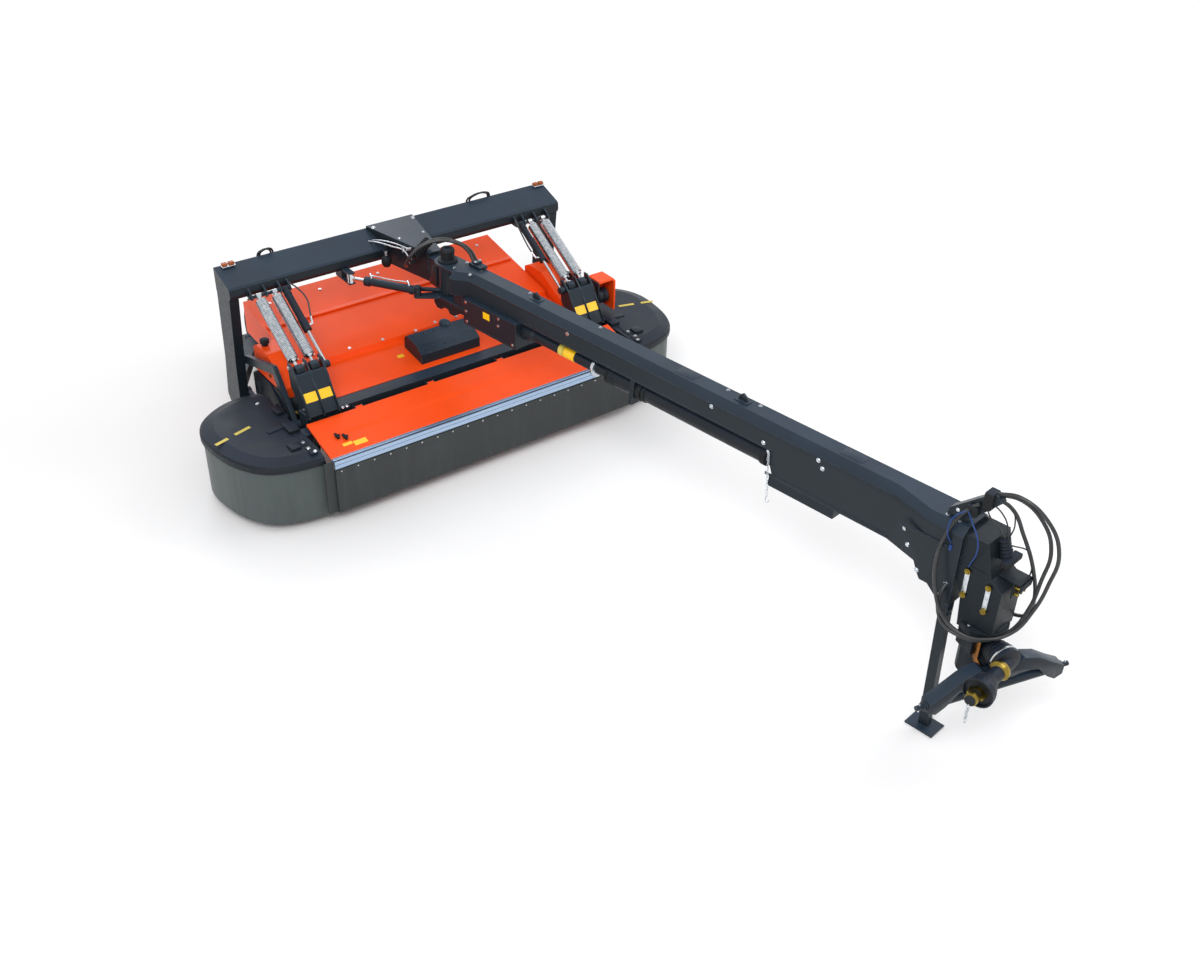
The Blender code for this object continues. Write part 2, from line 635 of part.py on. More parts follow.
def make_head_frame(head):
    tube_front = TUBE_REAR_Y - TUBE_SIZE
    adds = [box((-TUBE_HALF, TUBE_HALF), (tube_front, TUBE_REAR_Y), (TUBE_TOP_Z - TUBE_SIZE, TUBE_TOP_Z))]
    plate_low = CUTTER_TOP_Z
    cuts = []
    for side in (-1, 1):
        low, high = sorted((side * PLATE_IN_X, side * PLATE_OUT_X))
        adds.append(slab(outline(END_PLATE_SHARES, (tube_front - PLATE, plate_low + SEAT),
                                 (HEAD_REAR_Y - tube_front, TUBE_TOP_Z - PLATE - plate_low)), 0, low, high))
        for y, z in (link_front(UPPER_PIN_Y, UPPER_PIN_Z), link_front(LOWER_PIN_Y, LOWER_PIN_Z)):
            boss_end = side * (LINK_OUTER_X - LINK_WIDE - SEAT)
            adds.append(bar((side * (PLATE_IN_X + PLATE / 2), y, z), (boss_end, y, z), LINK_BOSS_RADIUS, PIN_SIDES))
            adds.append(bar((side * (PLATE_IN_X + PLATE), y, z), (side * (LINK_OUTER_X + PLATE / 2), y, z),
                            LINK_PIN_RADIUS, PIN_SIDES))
        adds.append(bar((side * (LIFT_X - LIFT_EYE_WIDE / 2 - PLATE / 2), LIFT_LOW_Y, LIFT_LOW_Z),
                        (side * TOWER_IN_X, LIFT_LOW_Y, LIFT_LOW_Z), SPRING_PIN_RADIUS, 24))
        for x in (TOWER_IN_X, (SPRING_X[0] + SPRING_X[1]) / 2, TOWER_OUT_X):
            adds.append(slab(outline(TOWER_SHARES, (TOWER_FOOT_Y, TUBE_TOP_Z),
                                     (TOWER_TOP_Y - TOWER_FOOT_Y, TOWER_TOP_Z - TUBE_TOP_Z)), 0,
                             side * x - RIB / 2, side * x + RIB / 2))
        cuts.append(bar((side * (SPRING_X[0] + SPRING_RADIUS), SPRING_LOW_Y, SPRING_LOW_Z),
                        (side * (SPRING_X[1] - SPRING_RADIUS), SPRING_LOW_Y, SPRING_LOW_Z),
                        SPRING_PIN_RADIUS + PIN_PLAY, EYE_SIDES))
        for along in STAY_Y:
            adds.append(box(sorted((side * (PLATE_IN_X + PLATE), side * (COVER_IN_X - SEAT))), along,
                            (COVER_RIM_Z + PLATE / 2, COVER_RIM_Z + PLATE / 2 + STAY_HIGH)))
        skin = slab(outline(TOWER_SKIN_SHARES, (TOWER_FOOT_Y, TUBE_TOP_Z),
                            (TOWER_TOP_Y - TOWER_FOOT_Y, TOWER_TOP_Z - TUBE_TOP_Z)), 0,
                    *sorted((side * TOWER_IN_X, side * TOWER_OUT_X)))
        adds.append(skin)
        for y, z in ((ROLL_LOW_Y, ROLL_LOW_Z), (ROLL_TOP_Y, ROLL_TOP_Z)):
            cuts.append(bar((side * (PLATE_IN_X - OVERRUN), y, z), (side * (PLATE_OUT_X + OVERRUN), y, z),
                            ROLL_STUB + PIN_PLAY, PIN_SIDES))
    adds.append(box((COVER_IN_X - SEAT - PLATE, COVER_IN_X - SEAT), (DRUM_Y - DRUM_GUARD_HALF, STAY_Y[1][1]),
                    (COVER_RIM_Z + PLATE, DRUM_GUARD_TOP_Z - PLATE)))
    for x in hinge_places():
        for way in (-1, 1):
            near = x + way * (HINGE_EYE_HALF + SEAT)
            adds.append(box(sorted((near, near + way * HINGE_LUG)),
                            (DECK_HINGE_Y - HINGE_PIN_RADIUS * 1.5, tube_front + PLATE),
                            (DECK_HINGE_Z - HINGE_PIN_RADIUS * 1.5, DECK_HINGE_Z + HINGE_PIN_RADIUS * 1.5)))
        reach = HINGE_EYE_HALF + HINGE_LUG / 2
        adds.append(bar((x - reach, DECK_HINGE_Y, DECK_HINGE_Z), (x + reach, DECK_HINGE_Y, DECK_HINGE_Z),
                        HINGE_PIN_RADIUS, EYE_SIDES))
    node("head_frame", fuse(adds, cuts), "slate paint", head)


def disc_places():
    first = -(DISC_COUNT - 1) / 2 * DISC_PITCH
    return [(first + index * DISC_PITCH, CUTTER_Y) for index in range(DISC_COUNT)]


def make_cutter_bar(head):
    half = (DISC_COUNT - 1) / 2 * DISC_PITCH + DISC_SHORT
    rear = CUTTER_Y + CUTTER_DEEP / 2
    front = CUTTER_Y - CUTTER_DEEP / 2
    adds = [slab([(front, CUTTER_LOW_Z + PLATE), (front + PLATE, CUTTER_LOW_Z), (rear, CUTTER_LOW_Z),
                  (rear, CUTTER_TOP_Z - PLATE), (rear - PLATE, CUTTER_TOP_Z - SEAT * 2),
                  (front + PLATE * 3, CUTTER_TOP_Z - SEAT * 2)], 0, -half, half)]
    tongue_rear = TUBE_REAR_Y + TUBE_SIZE
    for side in (-1, 1):
        low, high = sorted((side * (PLATE_IN_X - PLATE), side * (PLATE_OUT_X + PLATE)))
        adds.append(box((low, high), (rear - PLATE, tongue_rear), (CUTTER_LOW_Z + PLATE, CUTTER_TOP_Z)))
    for x, y in disc_places():
        adds.append(bar((x, y, CUTTER_TOP_Z - PLATE), (x, y, CUTTER_TOP_Z + PLATE * 2), DISC_SHORT / 2, 16))
        adds.append(slab([(front + PLATE * 2, CUTTER_LOW_Z + PLATE / 2), (front + PLATE * 4, 0),
                          (rear - PLATE, 0), (rear + PLATE, CUTTER_LOW_Z), (rear + PLATE, CUTTER_LOW_Z + PLATE)],
                         0, x - DISC_SHORT, x + DISC_SHORT))
    node("cutter_bar", fuse(adds), "slate paint", head)


DISC_SHARES = ((0, 0), (1, 0), (1, 0.2), (0.6, 0.8), (0.35, 1), (0, 1))


def make_discs(head):
    floor = CUTTER_TOP_Z + PLATE * 2 + SEAT
    for index, (x, y) in enumerate(disc_places()):
        dome = turned(DISC_SHARES, (0, 0, 0), (0, 0, 1), SIDES)
        dome.transform(Matrix.Diagonal((DISC_LONG, DISC_SHORT, DISC_HIGH, 1)))
        knives = [box(sorted((side * DISC_LONG * 0.7, side * KNIFE_REACH)),
                      (-KNIFE_WIDE / 2, KNIFE_WIDE / 2), (PLATE / 4, PLATE / 4 + KNIFE_THICK))
                  for side in (-1, 1)]
        node("disc_" + str(index + 1), fuse([dome, *knives]), "blade steel", head, (x, y, floor),
             math.pi / 2 * (index % 2))


def make_rolls(head):
    """Two rolls with a chevron of lobes: each half is twisted its own way."""
    for word, y, z, phase in (("lower", ROLL_LOW_Y, ROLL_LOW_Z, 0), ("upper", ROLL_TOP_Y, ROLL_TOP_Z, 0.5)):
        shape = bmesh.new()
        twist = math.pi / ROLL_LOBES
        rings = []
        for at, turn in ((-ROLL_HALF, 0), (0, twist), (ROLL_HALF, 0)):
            points = []
            for step in range(ROLL_LOBES * 4):
                radius = ROLL_RADIUS if step % 4 < 2 else ROLL_ROOT
                angle = (step / 4 + phase) * math.tau / ROLL_LOBES + turn
                points.append(shape.verts.new((at, radius * math.cos(angle), radius * math.sin(angle))))
            rings.append(points)
        for near, far in zip(rings, rings[1:]):
            for i in range(len(near)):
                j = (i + 1) % len(near)
                shape.faces.new((near[i], near[j], far[j], far[i]))
        shape.faces.new(rings[0])
        shape.faces.new(rings[-1])
        bmesh.ops.recalc_face_normals(shape, faces=shape.faces)
        stub = bar((-PLATE_OUT_X, 0, 0), (PLATE_OUT_X, 0, 0), ROLL_STUB, PIN_SIDES)
        node("roll_" + word, fuse([shape, stub]), "rubber", head, (0, y, z))


def make_hood(head):
    """The folded rear hood: a skin with a step across it and side walls."""
    top = [(HOOD_FRONT_Y, HOOD_FRONT_Z), (HOOD_STEP_Y, HOOD_STEP_Z - HOOD_STEP),
           (HOOD_STEP_Y + PLATE, HOOD_STEP_Z), (HOOD_REAR_Y, HOOD_REAR_Z)]
    under = [(y + (HOOD_SKIN / 2 if 0 < i < 3 else 0), z - HOOD_SKIN) for i, (y, z) in enumerate(top)]
    skin = slab(top + under[::-1], 0, -HOOD_HALF, HOOD_HALF)
    adds = [skin]
    for side in (-1, 1):
        wall = [(HOOD_FRONT_Y + PLATE, HOOD_FRONT_Z - PLATE), *[(y, z - PLATE) for y, z in top[1:]],
                (HOOD_REAR_Y, HOOD_REAR_Z - HOOD_WALL), (HOOD_STEP_Y + HOOD_WALL, HOOD_WALL_Z),
                (HOOD_FRONT_Y + PLATE, HOOD_WALL_Z)]
        adds.append(slab(wall, 0, *sorted((side * HOOD_HALF, side * (HOOD_HALF - HOOD_SKIN)))))
    adds.append(box((-HOOD_HALF, HOOD_HALF), (HOOD_REAR_Y - HOOD_SKIN, HOOD_REAR_Y),
                    (HOOD_REAR_Z - HOOD_LIP, HOOD_REAR_Z - PLATE)))
    node("rear_hood", fuse(adds), "orange paint", head)


TRIM_SHARES = ((0, 0), (-0.83, -0.125), (-1, -0.875), (-0.83, -1), (-0.5, -0.5), (0, -0.375))


def make_front_guard(head):
    """The lid over the cutter bar, with its trim strip and rubber curtain."""
    hook = group("front_lid", head, (0, DECK_HINGE_Y, DECK_HINGE_Z))
    slope = (DECK_HINGE_Z - DECK_FRONT_Z) / (DECK_HINGE_Y - DECK_FRONT_Y)
    crease_y = DECK_FRONT_Y + (DECK_HINGE_Y - DECK_FRONT_Y) / 2
    crease_z = DECK_FRONT_Z + slope * (crease_y - DECK_FRONT_Y)
    top = [(DECK_FRONT_Y, DECK_FRONT_Z), (crease_y - CREASE_RISE, crease_z),
           (crease_y + CREASE_RISE, crease_z + CREASE_RISE),
           (DECK_HINGE_Y - HINGE_EYE_RADIUS * 1.5, DECK_HINGE_Z + CREASE_RISE)]
    under = [(y, z - DECK_SKIN) for y, z in top]
    adds, cuts = [slab(top + under[::-1], 0, -DECK_HALF, DECK_HALF)], []
    for x in hinge_places():
        ends = (x - HINGE_EYE_HALF, x + HINGE_EYE_HALF)
        adds.append(bar((ends[0], DECK_HINGE_Y, DECK_HINGE_Z), (ends[1], DECK_HINGE_Y, DECK_HINGE_Z),
                        HINGE_EYE_RADIUS, PIN_SIDES))
        adds.append(box((ends[0] + SEAT * 3, ends[1] - SEAT * 3),
                        (DECK_HINGE_Y - HINGE_EYE_RADIUS * 3, DECK_HINGE_Y - HINGE_EYE_RADIUS / 2),
                        (DECK_HINGE_Z - HINGE_LUG / 2, DECK_HINGE_Z + HINGE_LUG)))
        cuts.append(bar((ends[0] - OVERRUN, DECK_HINGE_Y, DECK_HINGE_Z),
                        (ends[1] + OVERRUN, DECK_HINGE_Y, DECK_HINGE_Z), HINGE_PIN_RADIUS + PIN_PLAY, EYE_SIDES))
    node("front_guard", fuse(adds, cuts), "orange paint", hook)
    strip_y = DECK_FRONT_Y - SEAT
    strip = slab(outline(TRIM_SHARES, (strip_y, DECK_FRONT_Z), (TRIM_DEEP, TRIM_HIGH)), 0, -DECK_HALF, DECK_HALF)
    node("trim_strip", fuse([strip]), "silver trim", hook)
    curtain_y = strip_y - TRIM_DEEP * 0.87
    node("front_curtain", fuse([box((-DECK_HALF, DECK_HALF), (curtain_y, curtain_y + CURTAIN_THICK),
                                    (CURTAIN_LOW_Z, DECK_FRONT_Z - TRIM_HIGH - SEAT))]), "rubber", hook)


# Side covers: outline shares across (0 inner, 1 outer) and along (0 front, 1 rear).
COVER_SHARES = ((0, 0), (0.36, 0.02), (0.7, 0.1), (0.92, 0.3), (1, 0.55), (0.98, 0.72), (0.82, 0.88),
                (0.5, 0.98), (0.24, 1), (0, 0.97))
COVER_RING_SHARES = ((0, 0.22), (0.17, 0.67), (1, 1))    # inset and height of the dome's rings


def cover_outline(side, inset=0.0):
    wide = COVER_OUT_X - COVER_IN_X
    deep = COVER_REAR_Y - COVER_FRONT_Y
    points = [(COVER_IN_X + a * wide, COVER_FRONT_Y + b * deep) for a, b in softened(COVER_SHARES)]
    middle = Vector((COVER_IN_X, (COVER_FRONT_Y + COVER_REAR_Y) / 2))
    shrunk = []
    for x, y in points:
        toward = middle - Vector((x, y))
        step = toward.normalized() * inset
        shrunk.append((side * (x if x == COVER_IN_X else x + step.x), y + step.y))
    return shrunk


def make_covers(head):
    for side, word in ((1, "left"), (-1, "right")):
        rim = cover_outline(side)
        lower = slab(rim, 2, COVER_RIM_Z, COVER_RIM_Z + COVER_LIP)
        shape = bmesh.new()
        rings = []
        for inset, rise in COVER_RING_SHARES:
            z = COVER_RIM_Z + rise * COVER_DOME
            rings.append([shape.verts.new((x, y, z)) for x, y in cover_outline(side, inset * COVER_SLOPE)])
        for near, far in zip(rings, rings[1:]):
            for i in range(len(near)):
                j = (i + 1) % len(near)
                shape.faces.new((near[i], near[j], far[j], far[i]))
        shape.faces.new(rings[0])
        shape.faces.new(rings[-1])
        bmesh.ops.recalc_face_normals(shape, faces=shape.faces)
        node("side_cover_" + word, fuse([lower, shape]), "black plastic", head)
        outer = cover_outline(side, SKIRT_THICK)
        inner = cover_outline(side, SKIRT_THICK * 2)
        open_ring = outer[:-1] + inner[:-1][::-1]
        node("side_skirt_" + word, fuse([slab(open_ring, 2, SKIRT_LOW_Z, COVER_RIM_Z - SEAT)]), "skirt cloth", head)


def make_springs(root):
    """Spring pairs and lift cylinders hang on one pin a side, under the beam."""
    pin = (0, SPRING_TOP_Y, SPRING_TOP_Z)
    springs = group("springs", root, pin)
    barrels = group("lift_barrels", root, pin)
    rods = group("lift_rods", barrels, pin)
    for side, word in ((1, "left"), (-1, "right")):
        adds, cuts = [], []
        for x in SPRING_X:
            top = Vector((side * x, SPRING_TOP_Y, SPRING_TOP_Z))
            foot = Vector((side * x, SPRING_LOW_Y, SPRING_LOW_Z))
            way = (foot - top).normalized()
            half = Vector((SPRING_EYE_WIDE / 2, 0, 0))
            adds.append(bar(top + way * SPRING_EYE_RADIUS * 0.8, foot, SPRING_RADIUS, SIDES))
            adds.append(bar(top - half, top + half, SPRING_EYE_RADIUS, 16))
            cuts.append(bar(top - half * 2, top + half * 2, SPRING_PIN_RADIUS + PIN_PLAY, EYE_SIDES))
        ends = [(side * x, SPRING_LOW_Y, SPRING_LOW_Z) for x in SPRING_X]
        adds.append(bar(*ends, SPRING_PIN_RADIUS, EYE_SIDES))
        node("spring_pair_" + word, fuse(adds, cuts), "zinc", springs)
        top = Vector((side * LIFT_X, SPRING_TOP_Y, SPRING_TOP_Z))
        foot = Vector((side * LIFT_X, LIFT_LOW_Y, LIFT_LOW_Z))
        way = (foot - top).normalized()
        mouth = top + way * LIFT_BARREL_LONG
        half = Vector((LIFT_EYE_WIDE / 2, 0, 0))
        bottom = top + way * SPRING_EYE_RADIUS * 2
        jacket = [bar(top + way * SPRING_PIN_RADIUS * 1.5, mouth, LIFT_BARREL_RADIUS, SIDES),
                  bar(top - half, top + half, SPRING_EYE_RADIUS, SIDES)]
        bores = [bar(bottom, mouth + way * OVERRUN, LIFT_ROD_RADIUS + PIN_PLAY, SIDES),
                 bar(top - half * 2, top + half * 2, SPRING_PIN_RADIUS + PIN_PLAY, EYE_SIDES)]
        node("lift_barrel_" + word, fuse(jacket, bores), "black plastic", barrels)
        rod = [bar(bottom + way * LIFT_STROKE, foot - way * SPRING_PIN_RADIUS * 2, LIFT_ROD_RADIUS, SIDES),
               bar(foot - half, foot + half, LIFT_EYE_RADIUS, SIDES)]
        eye = bar(foot - half * 2, foot + half * 2, SPRING_PIN_RADIUS + OPEN_PLAY, SIDES)
        node("lift_rod_" + word, fuse(rod, [eye]), "chrome", rods)


# Underside of the drawbar's front end, as shares of the deep section's drop and length.
CHIN_LONG = 0.31
CHIN_SHARES = ((0, 0), (0.22, 0.55), (0.42, 0.55), (0.74, 1), (1, 1))


def stand_cheeks():
    return (STAND_ACROSS - STAND_WIDE / 2 - PLATE - SEAT, STAND_ACROSS + STAND_WIDE / 2 + SEAT)


def make_drawbar(root):
    swing = group("drawbar_swing", root, (0, PIVOT_Y, 0), DRAWBAR_ANGLE)
    chin = outline(CHIN_SHARES, (-DRAWBAR_FRONT + CHIN_LONG, DEEP_LOW_Z), (-CHIN_LONG, FRONT_LOW_Z - DEEP_LOW_Z))
    side = [(-DRAWBAR_REAR, DRAWBAR_TOP_Z), (-DRAWBAR_REAR, DRAWBAR_LOW_Z), (-DEEP_START, DRAWBAR_LOW_Z),
            (-DEEP_START - DRAWBAR_HALF / 2, DEEP_LOW_Z), *chin, (-DRAWBAR_FRONT, DRAWBAR_TOP_Z)]
    adds = [slab(side, 0, -DRAWBAR_HALF, DRAWBAR_HALF)]
    cuts = []
    for way in (-1, 1):
        past = way * (DRAWBAR_HALF + OVERRUN)
        cuts.append(slab([(way * DRAWBAR_TOP_HALF, DRAWBAR_TOP_Z), (way * DRAWBAR_TOP_HALF, DRAWBAR_TOP_Z + OVERRUN),
                          (past, DRAWBAR_TOP_Z + OVERRUN), (past, DRAWBAR_SHOULDER_Z - OVERRUN),
                          (way * DRAWBAR_HALF, DRAWBAR_SHOULDER_Z)],
                         1, -DRAWBAR_FRONT - OVERRUN, -DRAWBAR_REAR + OVERRUN))
    web_end = -DRAWBAR_REAR - CLEVIS_RADIUS
    lobe = arc(0, 0, CLEVIS_RADIUS, 0, math.pi, 12)
    for low in (HUB_TOP_Z + SEAT, CLEVIS_LOW_Z):
        adds.append(slab([*lobe, (-CLEVIS_RADIUS, web_end), (CLEVIS_RADIUS, web_end)], 2, low, low + CLEVIS_PLATE))
    adds.append(box((-CLEVIS_RADIUS + PLATE, CLEVIS_RADIUS - PLATE), (web_end + PLATE, -DRAWBAR_REAR + PLATE),
                    (CLEVIS_LOW_Z + PLATE, DRAWBAR_LOW_Z + PLATE)))
    adds.append(bar((0, 0, CLEVIS_LOW_Z + PLATE), (0, 0, HUB_CAP_Z), SWING_EYE_RADIUS, PIN_SIDES))
    adds.append(bar((0, 0, HUB_TOP_Z + PLATE), (0, 0, HUB_CAP_Z - PLATE), HUB_CAP_RADIUS, PIN_SIDES))
    adds.append(swing_arm())
    adds.append(box((-HANGER_HALF, HANGER_HALF), (-HANGER_AT - HANGER_THICK / 2, -HANGER_AT + HANGER_THICK / 2),
                    (SHAFT_Z - HANGER_HALF, DRAWBAR_LOW_Z + PLATE)))
    adds.append(box((-TUNNEL_HALF, TUNNEL_HALF), (-TUNNEL_END, -TUNNEL_START), (TUNNEL_LOW_Z, DEEP_LOW_Z + PLATE)))
    pin_x, pin_y = swing_pin()
    adds.append(bar((pin_x, pin_y, CLEVIS_LOW_Z + PLATE), (pin_x, pin_y, SWING_Z + SWING_EYE_HALF),
                    SWING_PIN_RADIUS, EYE_SIDES))
    for low in stand_cheeks():
        adds.append(box((low, low + PLATE), (-STAND_AT - STAND_LUG, -STAND_AT + STAND_LUG),
                        (STAND_HINGE_Z - STAND_LUG, FRONT_LOW_Z + PLATE)))
    reach = STAND_WIDE / 2 + PLATE * 1.5
    adds.append(bar((STAND_ACROSS - reach, -STAND_AT, STAND_HINGE_Z), (STAND_ACROSS + reach, -STAND_AT, STAND_HINGE_Z),
                    STAND_PIN_RADIUS, EYE_SIDES))
    node("drawbar_beam", fuse(adds, cuts), "slate paint", swing)
    make_shafts(swing)
    make_stand(swing)
    return swing, make_hitch(swing)


def swing_pin():
    """The swing cylinder's base pin, in the drawbar's frame."""
    angle = ARM_PIN_ANGLE - DRAWBAR_ANGLE
    return ARM_PIN_RADIUS * math.cos(angle), ARM_PIN_RADIUS * math.sin(angle)


def swing_arm():
    end = SWING_EYE_RADIUS + PLATE / 2
    return slab([(0, CLEVIS_RADIUS / 2), *arc(*swing_pin(), end, math.pi / 2, math.pi * 1.3, 8), (0, -CLEVIS_RADIUS)],
                2, CLEVIS_LOW_Z + PLATE / 4, CLEVIS_LOW_Z + CLEVIS_PLATE - PLATE / 4)


# The sleeved shaft guard: radius share, and place from its rear end (positive) or front end (negative).
SLEEVE = ((0, 0), (1.5, 0), (1.3, 0.1), (1, 0.12), (1, -0.3), (1.5, -0.25), (1.5, -0.08), (1.1, -SEAT), (0, -SEAT))
PIVOT_BOX_SHARES = ((0, 0.35), (0.08, 0), (0.2, 0), (0.24, 0.3), (0.42, 0.3), (0.46, 0), (0.6, 0), (0.68, 0.45),
                    (1, 0.55), (1, 1), (0, 1))
HOLDER_SHARES = ((0, 0), (0.38, 0), (1, 0.86), (0.91, 1), (0.79, 1), (0.03, 0.2))


def make_shafts(swing):
    """Gearboxes and guarded shafts under the drawbar, and the hose holder on it."""
    pivot_long = BOX_START - SEAT - PIVOT_BOX_REAR
    pivot_high = CLEVIS_LOW_Z - SEAT - PIVOT_BOX_LOW_Z
    node("pivot_gearbox", fuse([slab(outline(PIVOT_BOX_SHARES, (-PIVOT_BOX_REAR, PIVOT_BOX_LOW_Z),
                                             (-pivot_long, pivot_high)), 0, -PIVOT_BOX_HALF, PIVOT_BOX_HALF)]),
         "slate paint", swing)
    node("rear_gearbox", fuse([box((-BOX_HALF, BOX_HALF), (-BOX_END, -BOX_START),
                                   (BOX_LOW_Z, DRAWBAR_LOW_Z - SEAT))]), "slate paint", swing)
    long = HANGER_AT - HANGER_THICK / 2 - BOX_END
    guard = [(radius * SHAFT_REAR_RADIUS, at if at >= 0 else long + at) for radius, at in SLEEVE]
    node("shaft_guard_rear", fuse([turned(guard, (0, -BOX_END - SEAT, SHAFT_Z), (0, -HANGER_AT, SHAFT_Z))]),
         "black plastic", swing)
    front_start = HANGER_AT + HANGER_THICK / 2 + SEAT
    node("shaft_guard_front", fuse([bar((0, -front_start, SHAFT_Z), (0, -DEEP_START + SEAT, SHAFT_Z),
                                        SHAFT_FRONT_RADIUS)]), "black plastic", swing)
    holder = outline(HOLDER_SHARES, (-HOLDER_START, DRAWBAR_TOP_Z + SEAT), (-HOLDER_LONG, HOLDER_HIGH))
    node("hose_holder", fuse([slab(holder, 0, *HOLDER_X)]), "slate paint", swing)


# Swivel gearbox, seen from the side: shares of its length ahead of the drawbar and of its height.
GEAR_SHARES = ((0, 0.47), (0, 0.985), (0.09, 1), (0.5, 1), (0.72, 0.643), (1, 0.557), (1, 0.043), (0.875, 0),
               (0.22, 0), (0.16, 0.33))
CROSSBAR_SHARES = ((-1, 1, 0.5, 0.9), (-0.8, 0.8, 0.5, 0.75), (-0.5, 0, 0.5, 0.5), (0.5, 0, 0.5, 0.5),
                   (0.8, 0.8, 0.5, 0.75), (1, 1, 0.5, 0.9))   # place, drop, half height above and below


def make_hitch(swing):
    """The swivel gearbox on the drawbar, and what turns below it with the tractor."""
    gear = outline(GEAR_SHARES, (-DRAWBAR_FRONT - SEAT, GEAR_FLANGE_Z), (-GEAR_LONG, GEAR_TOP_Z - GEAR_FLANGE_Z))
    flange = bar((0, -HITCH_AT, GEAR_FLANGE_Z), (0, -HITCH_AT, GEAR_FLANGE_Z + GEAR_FLANGE_THICK),
                 GEAR_FLANGE_RADIUS, 24)
    node("swivel_gearbox", fuse([slab(gear, 0, -GEAR_HALF, GEAR_HALF), flange]), "slate paint", swing)
    hitch = group("hitch", swing, (0, -HITCH_AT, 0), HITCH_YAW)
    lower = bar((0, 0, LOW_GEAR_Z), (0, 0, GEAR_FLANGE_Z - SEAT), LOW_GEAR_RADIUS, 24)
    block = box((-LOW_GEAR_HALF, LOW_GEAR_HALF), (-CROSSBAR_REACH + CROSSBAR_SIZE / 2 + SEAT, 0),
                (LOW_GEAR_Z + PLATE, CROSSBAR_Z + CROSSBAR_SIZE / 2))
    node("hitch_gearbox", fuse([lower, block]), "slate paint", hitch)
    stops = [(at * CROSSBAR_HALF, CROSSBAR_Z - drop * CROSSBAR_DROP, up * CROSSBAR_SIZE, down * CROSSBAR_SIZE)
             for at, drop, up, down in CROSSBAR_SHARES]
    top = [(x, z + up) for x, z, up, down in stops]
    low = [(x, z - down) for x, z, up, down in stops]
    yoke = slab(top + low[::-1], 1, -CROSSBAR_REACH - CROSSBAR_SIZE / 2, -CROSSBAR_REACH + CROSSBAR_SIZE / 2)
    pin_z = CROSSBAR_Z - CROSSBAR_DROP
    pins = bar((-CROSSBAR_PIN_HALF, -CROSSBAR_REACH, pin_z), (CROSSBAR_PIN_HALF, -CROSSBAR_REACH, pin_z),
               CROSSBAR_PIN_RADIUS, SIDES)
    node("crossbar", fuse([yoke, pins]), "slate paint", hitch)
    return hitch


def make_stand(swing):
    stand = group("stand_hinge", swing, (STAND_ACROSS, -STAND_AT, STAND_HINGE_Z))
    ends = [(STAND_ACROSS + way * STAND_WIDE / 2, -STAND_AT, STAND_HINGE_Z) for way in (-1, 1)]
    past = [(STAND_ACROSS + way * STAND_WIDE, -STAND_AT, STAND_HINGE_Z) for way in (-1, 1)]
    foot_at = -STAND_AT - STAND_LEAN
    tube = strut((STAND_ACROSS, -STAND_AT, STAND_HINGE_Z - STAND_PIN_RADIUS * 2),
                 (STAND_ACROSS, foot_at, FOOT_THICK / 2), STAND_WIDE - 2 * PIN_PLAY, STAND_DEEP)
    foot = box((STAND_ACROSS - FOOT_WIDE / 2, STAND_ACROSS + FOOT_WIDE / 2),
               (foot_at - FOOT_LONG / 2, foot_at + FOOT_LONG / 2), (0, FOOT_THICK))
    node("stand", fuse([bar(*ends, STAND_EYE_RADIUS, PIN_SIDES), tube, foot],
                       [bar(*past, STAND_PIN_RADIUS + PIN_PLAY, EYE_SIDES)]), "slate paint", stand)


def settle(root):
    """Moves the machine so that its floor's centre is the origin."""
    bpy.context.view_layer.update()
    corners = [piece.matrix_world @ vert.co for piece in bpy.data.objects if piece.type == "MESH"
               for vert in piece.data.vertices]
    for axis in (0, 1):
        places = [corner[axis] for corner in corners]
        root.location[axis] = -(min(places) + max(places)) / 2
    root.location.z = -min(corner.z for corner in corners)


# Roll drive case outline and its four round bumps, as shares of its length and height.
CASE_SHARES = ((0, 0.2), (0.1, 0), (0.35, 0), (1, 0.45), (1, 0.9), (0.9, 1), (0.5, 1), (0.1, 0.6), (0, 0.4))
CASE_BUMP_SHARES = ((0.15, 0.2), (0.34, 0.55), (0.6, 0.5), (0.84, 0.72))
GUARD_SHARES = ((0, 0), (1, 0), (1, 0.85), (0.88, 1), (0.55, 1), (0, 0.35))
DRUM_SHARES = ((0, 0), (0.6, 0), (0.6, 0.12), (1, 0.18), (1, 0.42), (0.86, 0.46), (0.86, 0.58), (1, 0.62), (1, 0.86),
               (0.5, 0.9), (0.5, 1), (0, 1))
DRUM_GUARD_SHARES = ((0, 0.94), (0, 1), (0.86, 1), (1, 0.9), (1, 0), (0.9, 0), (0.9, 0.88), (0.82, 0.94))


def hood_z(y):
    """Height of the hood's front panel."""
    share = (y - HOOD_FRONT_Y) / (HOOD_STEP_Y - HOOD_FRONT_Y)
    return HOOD_FRONT_Z + share * (HOOD_STEP_Z - HOOD_STEP - HOOD_FRONT_Z)


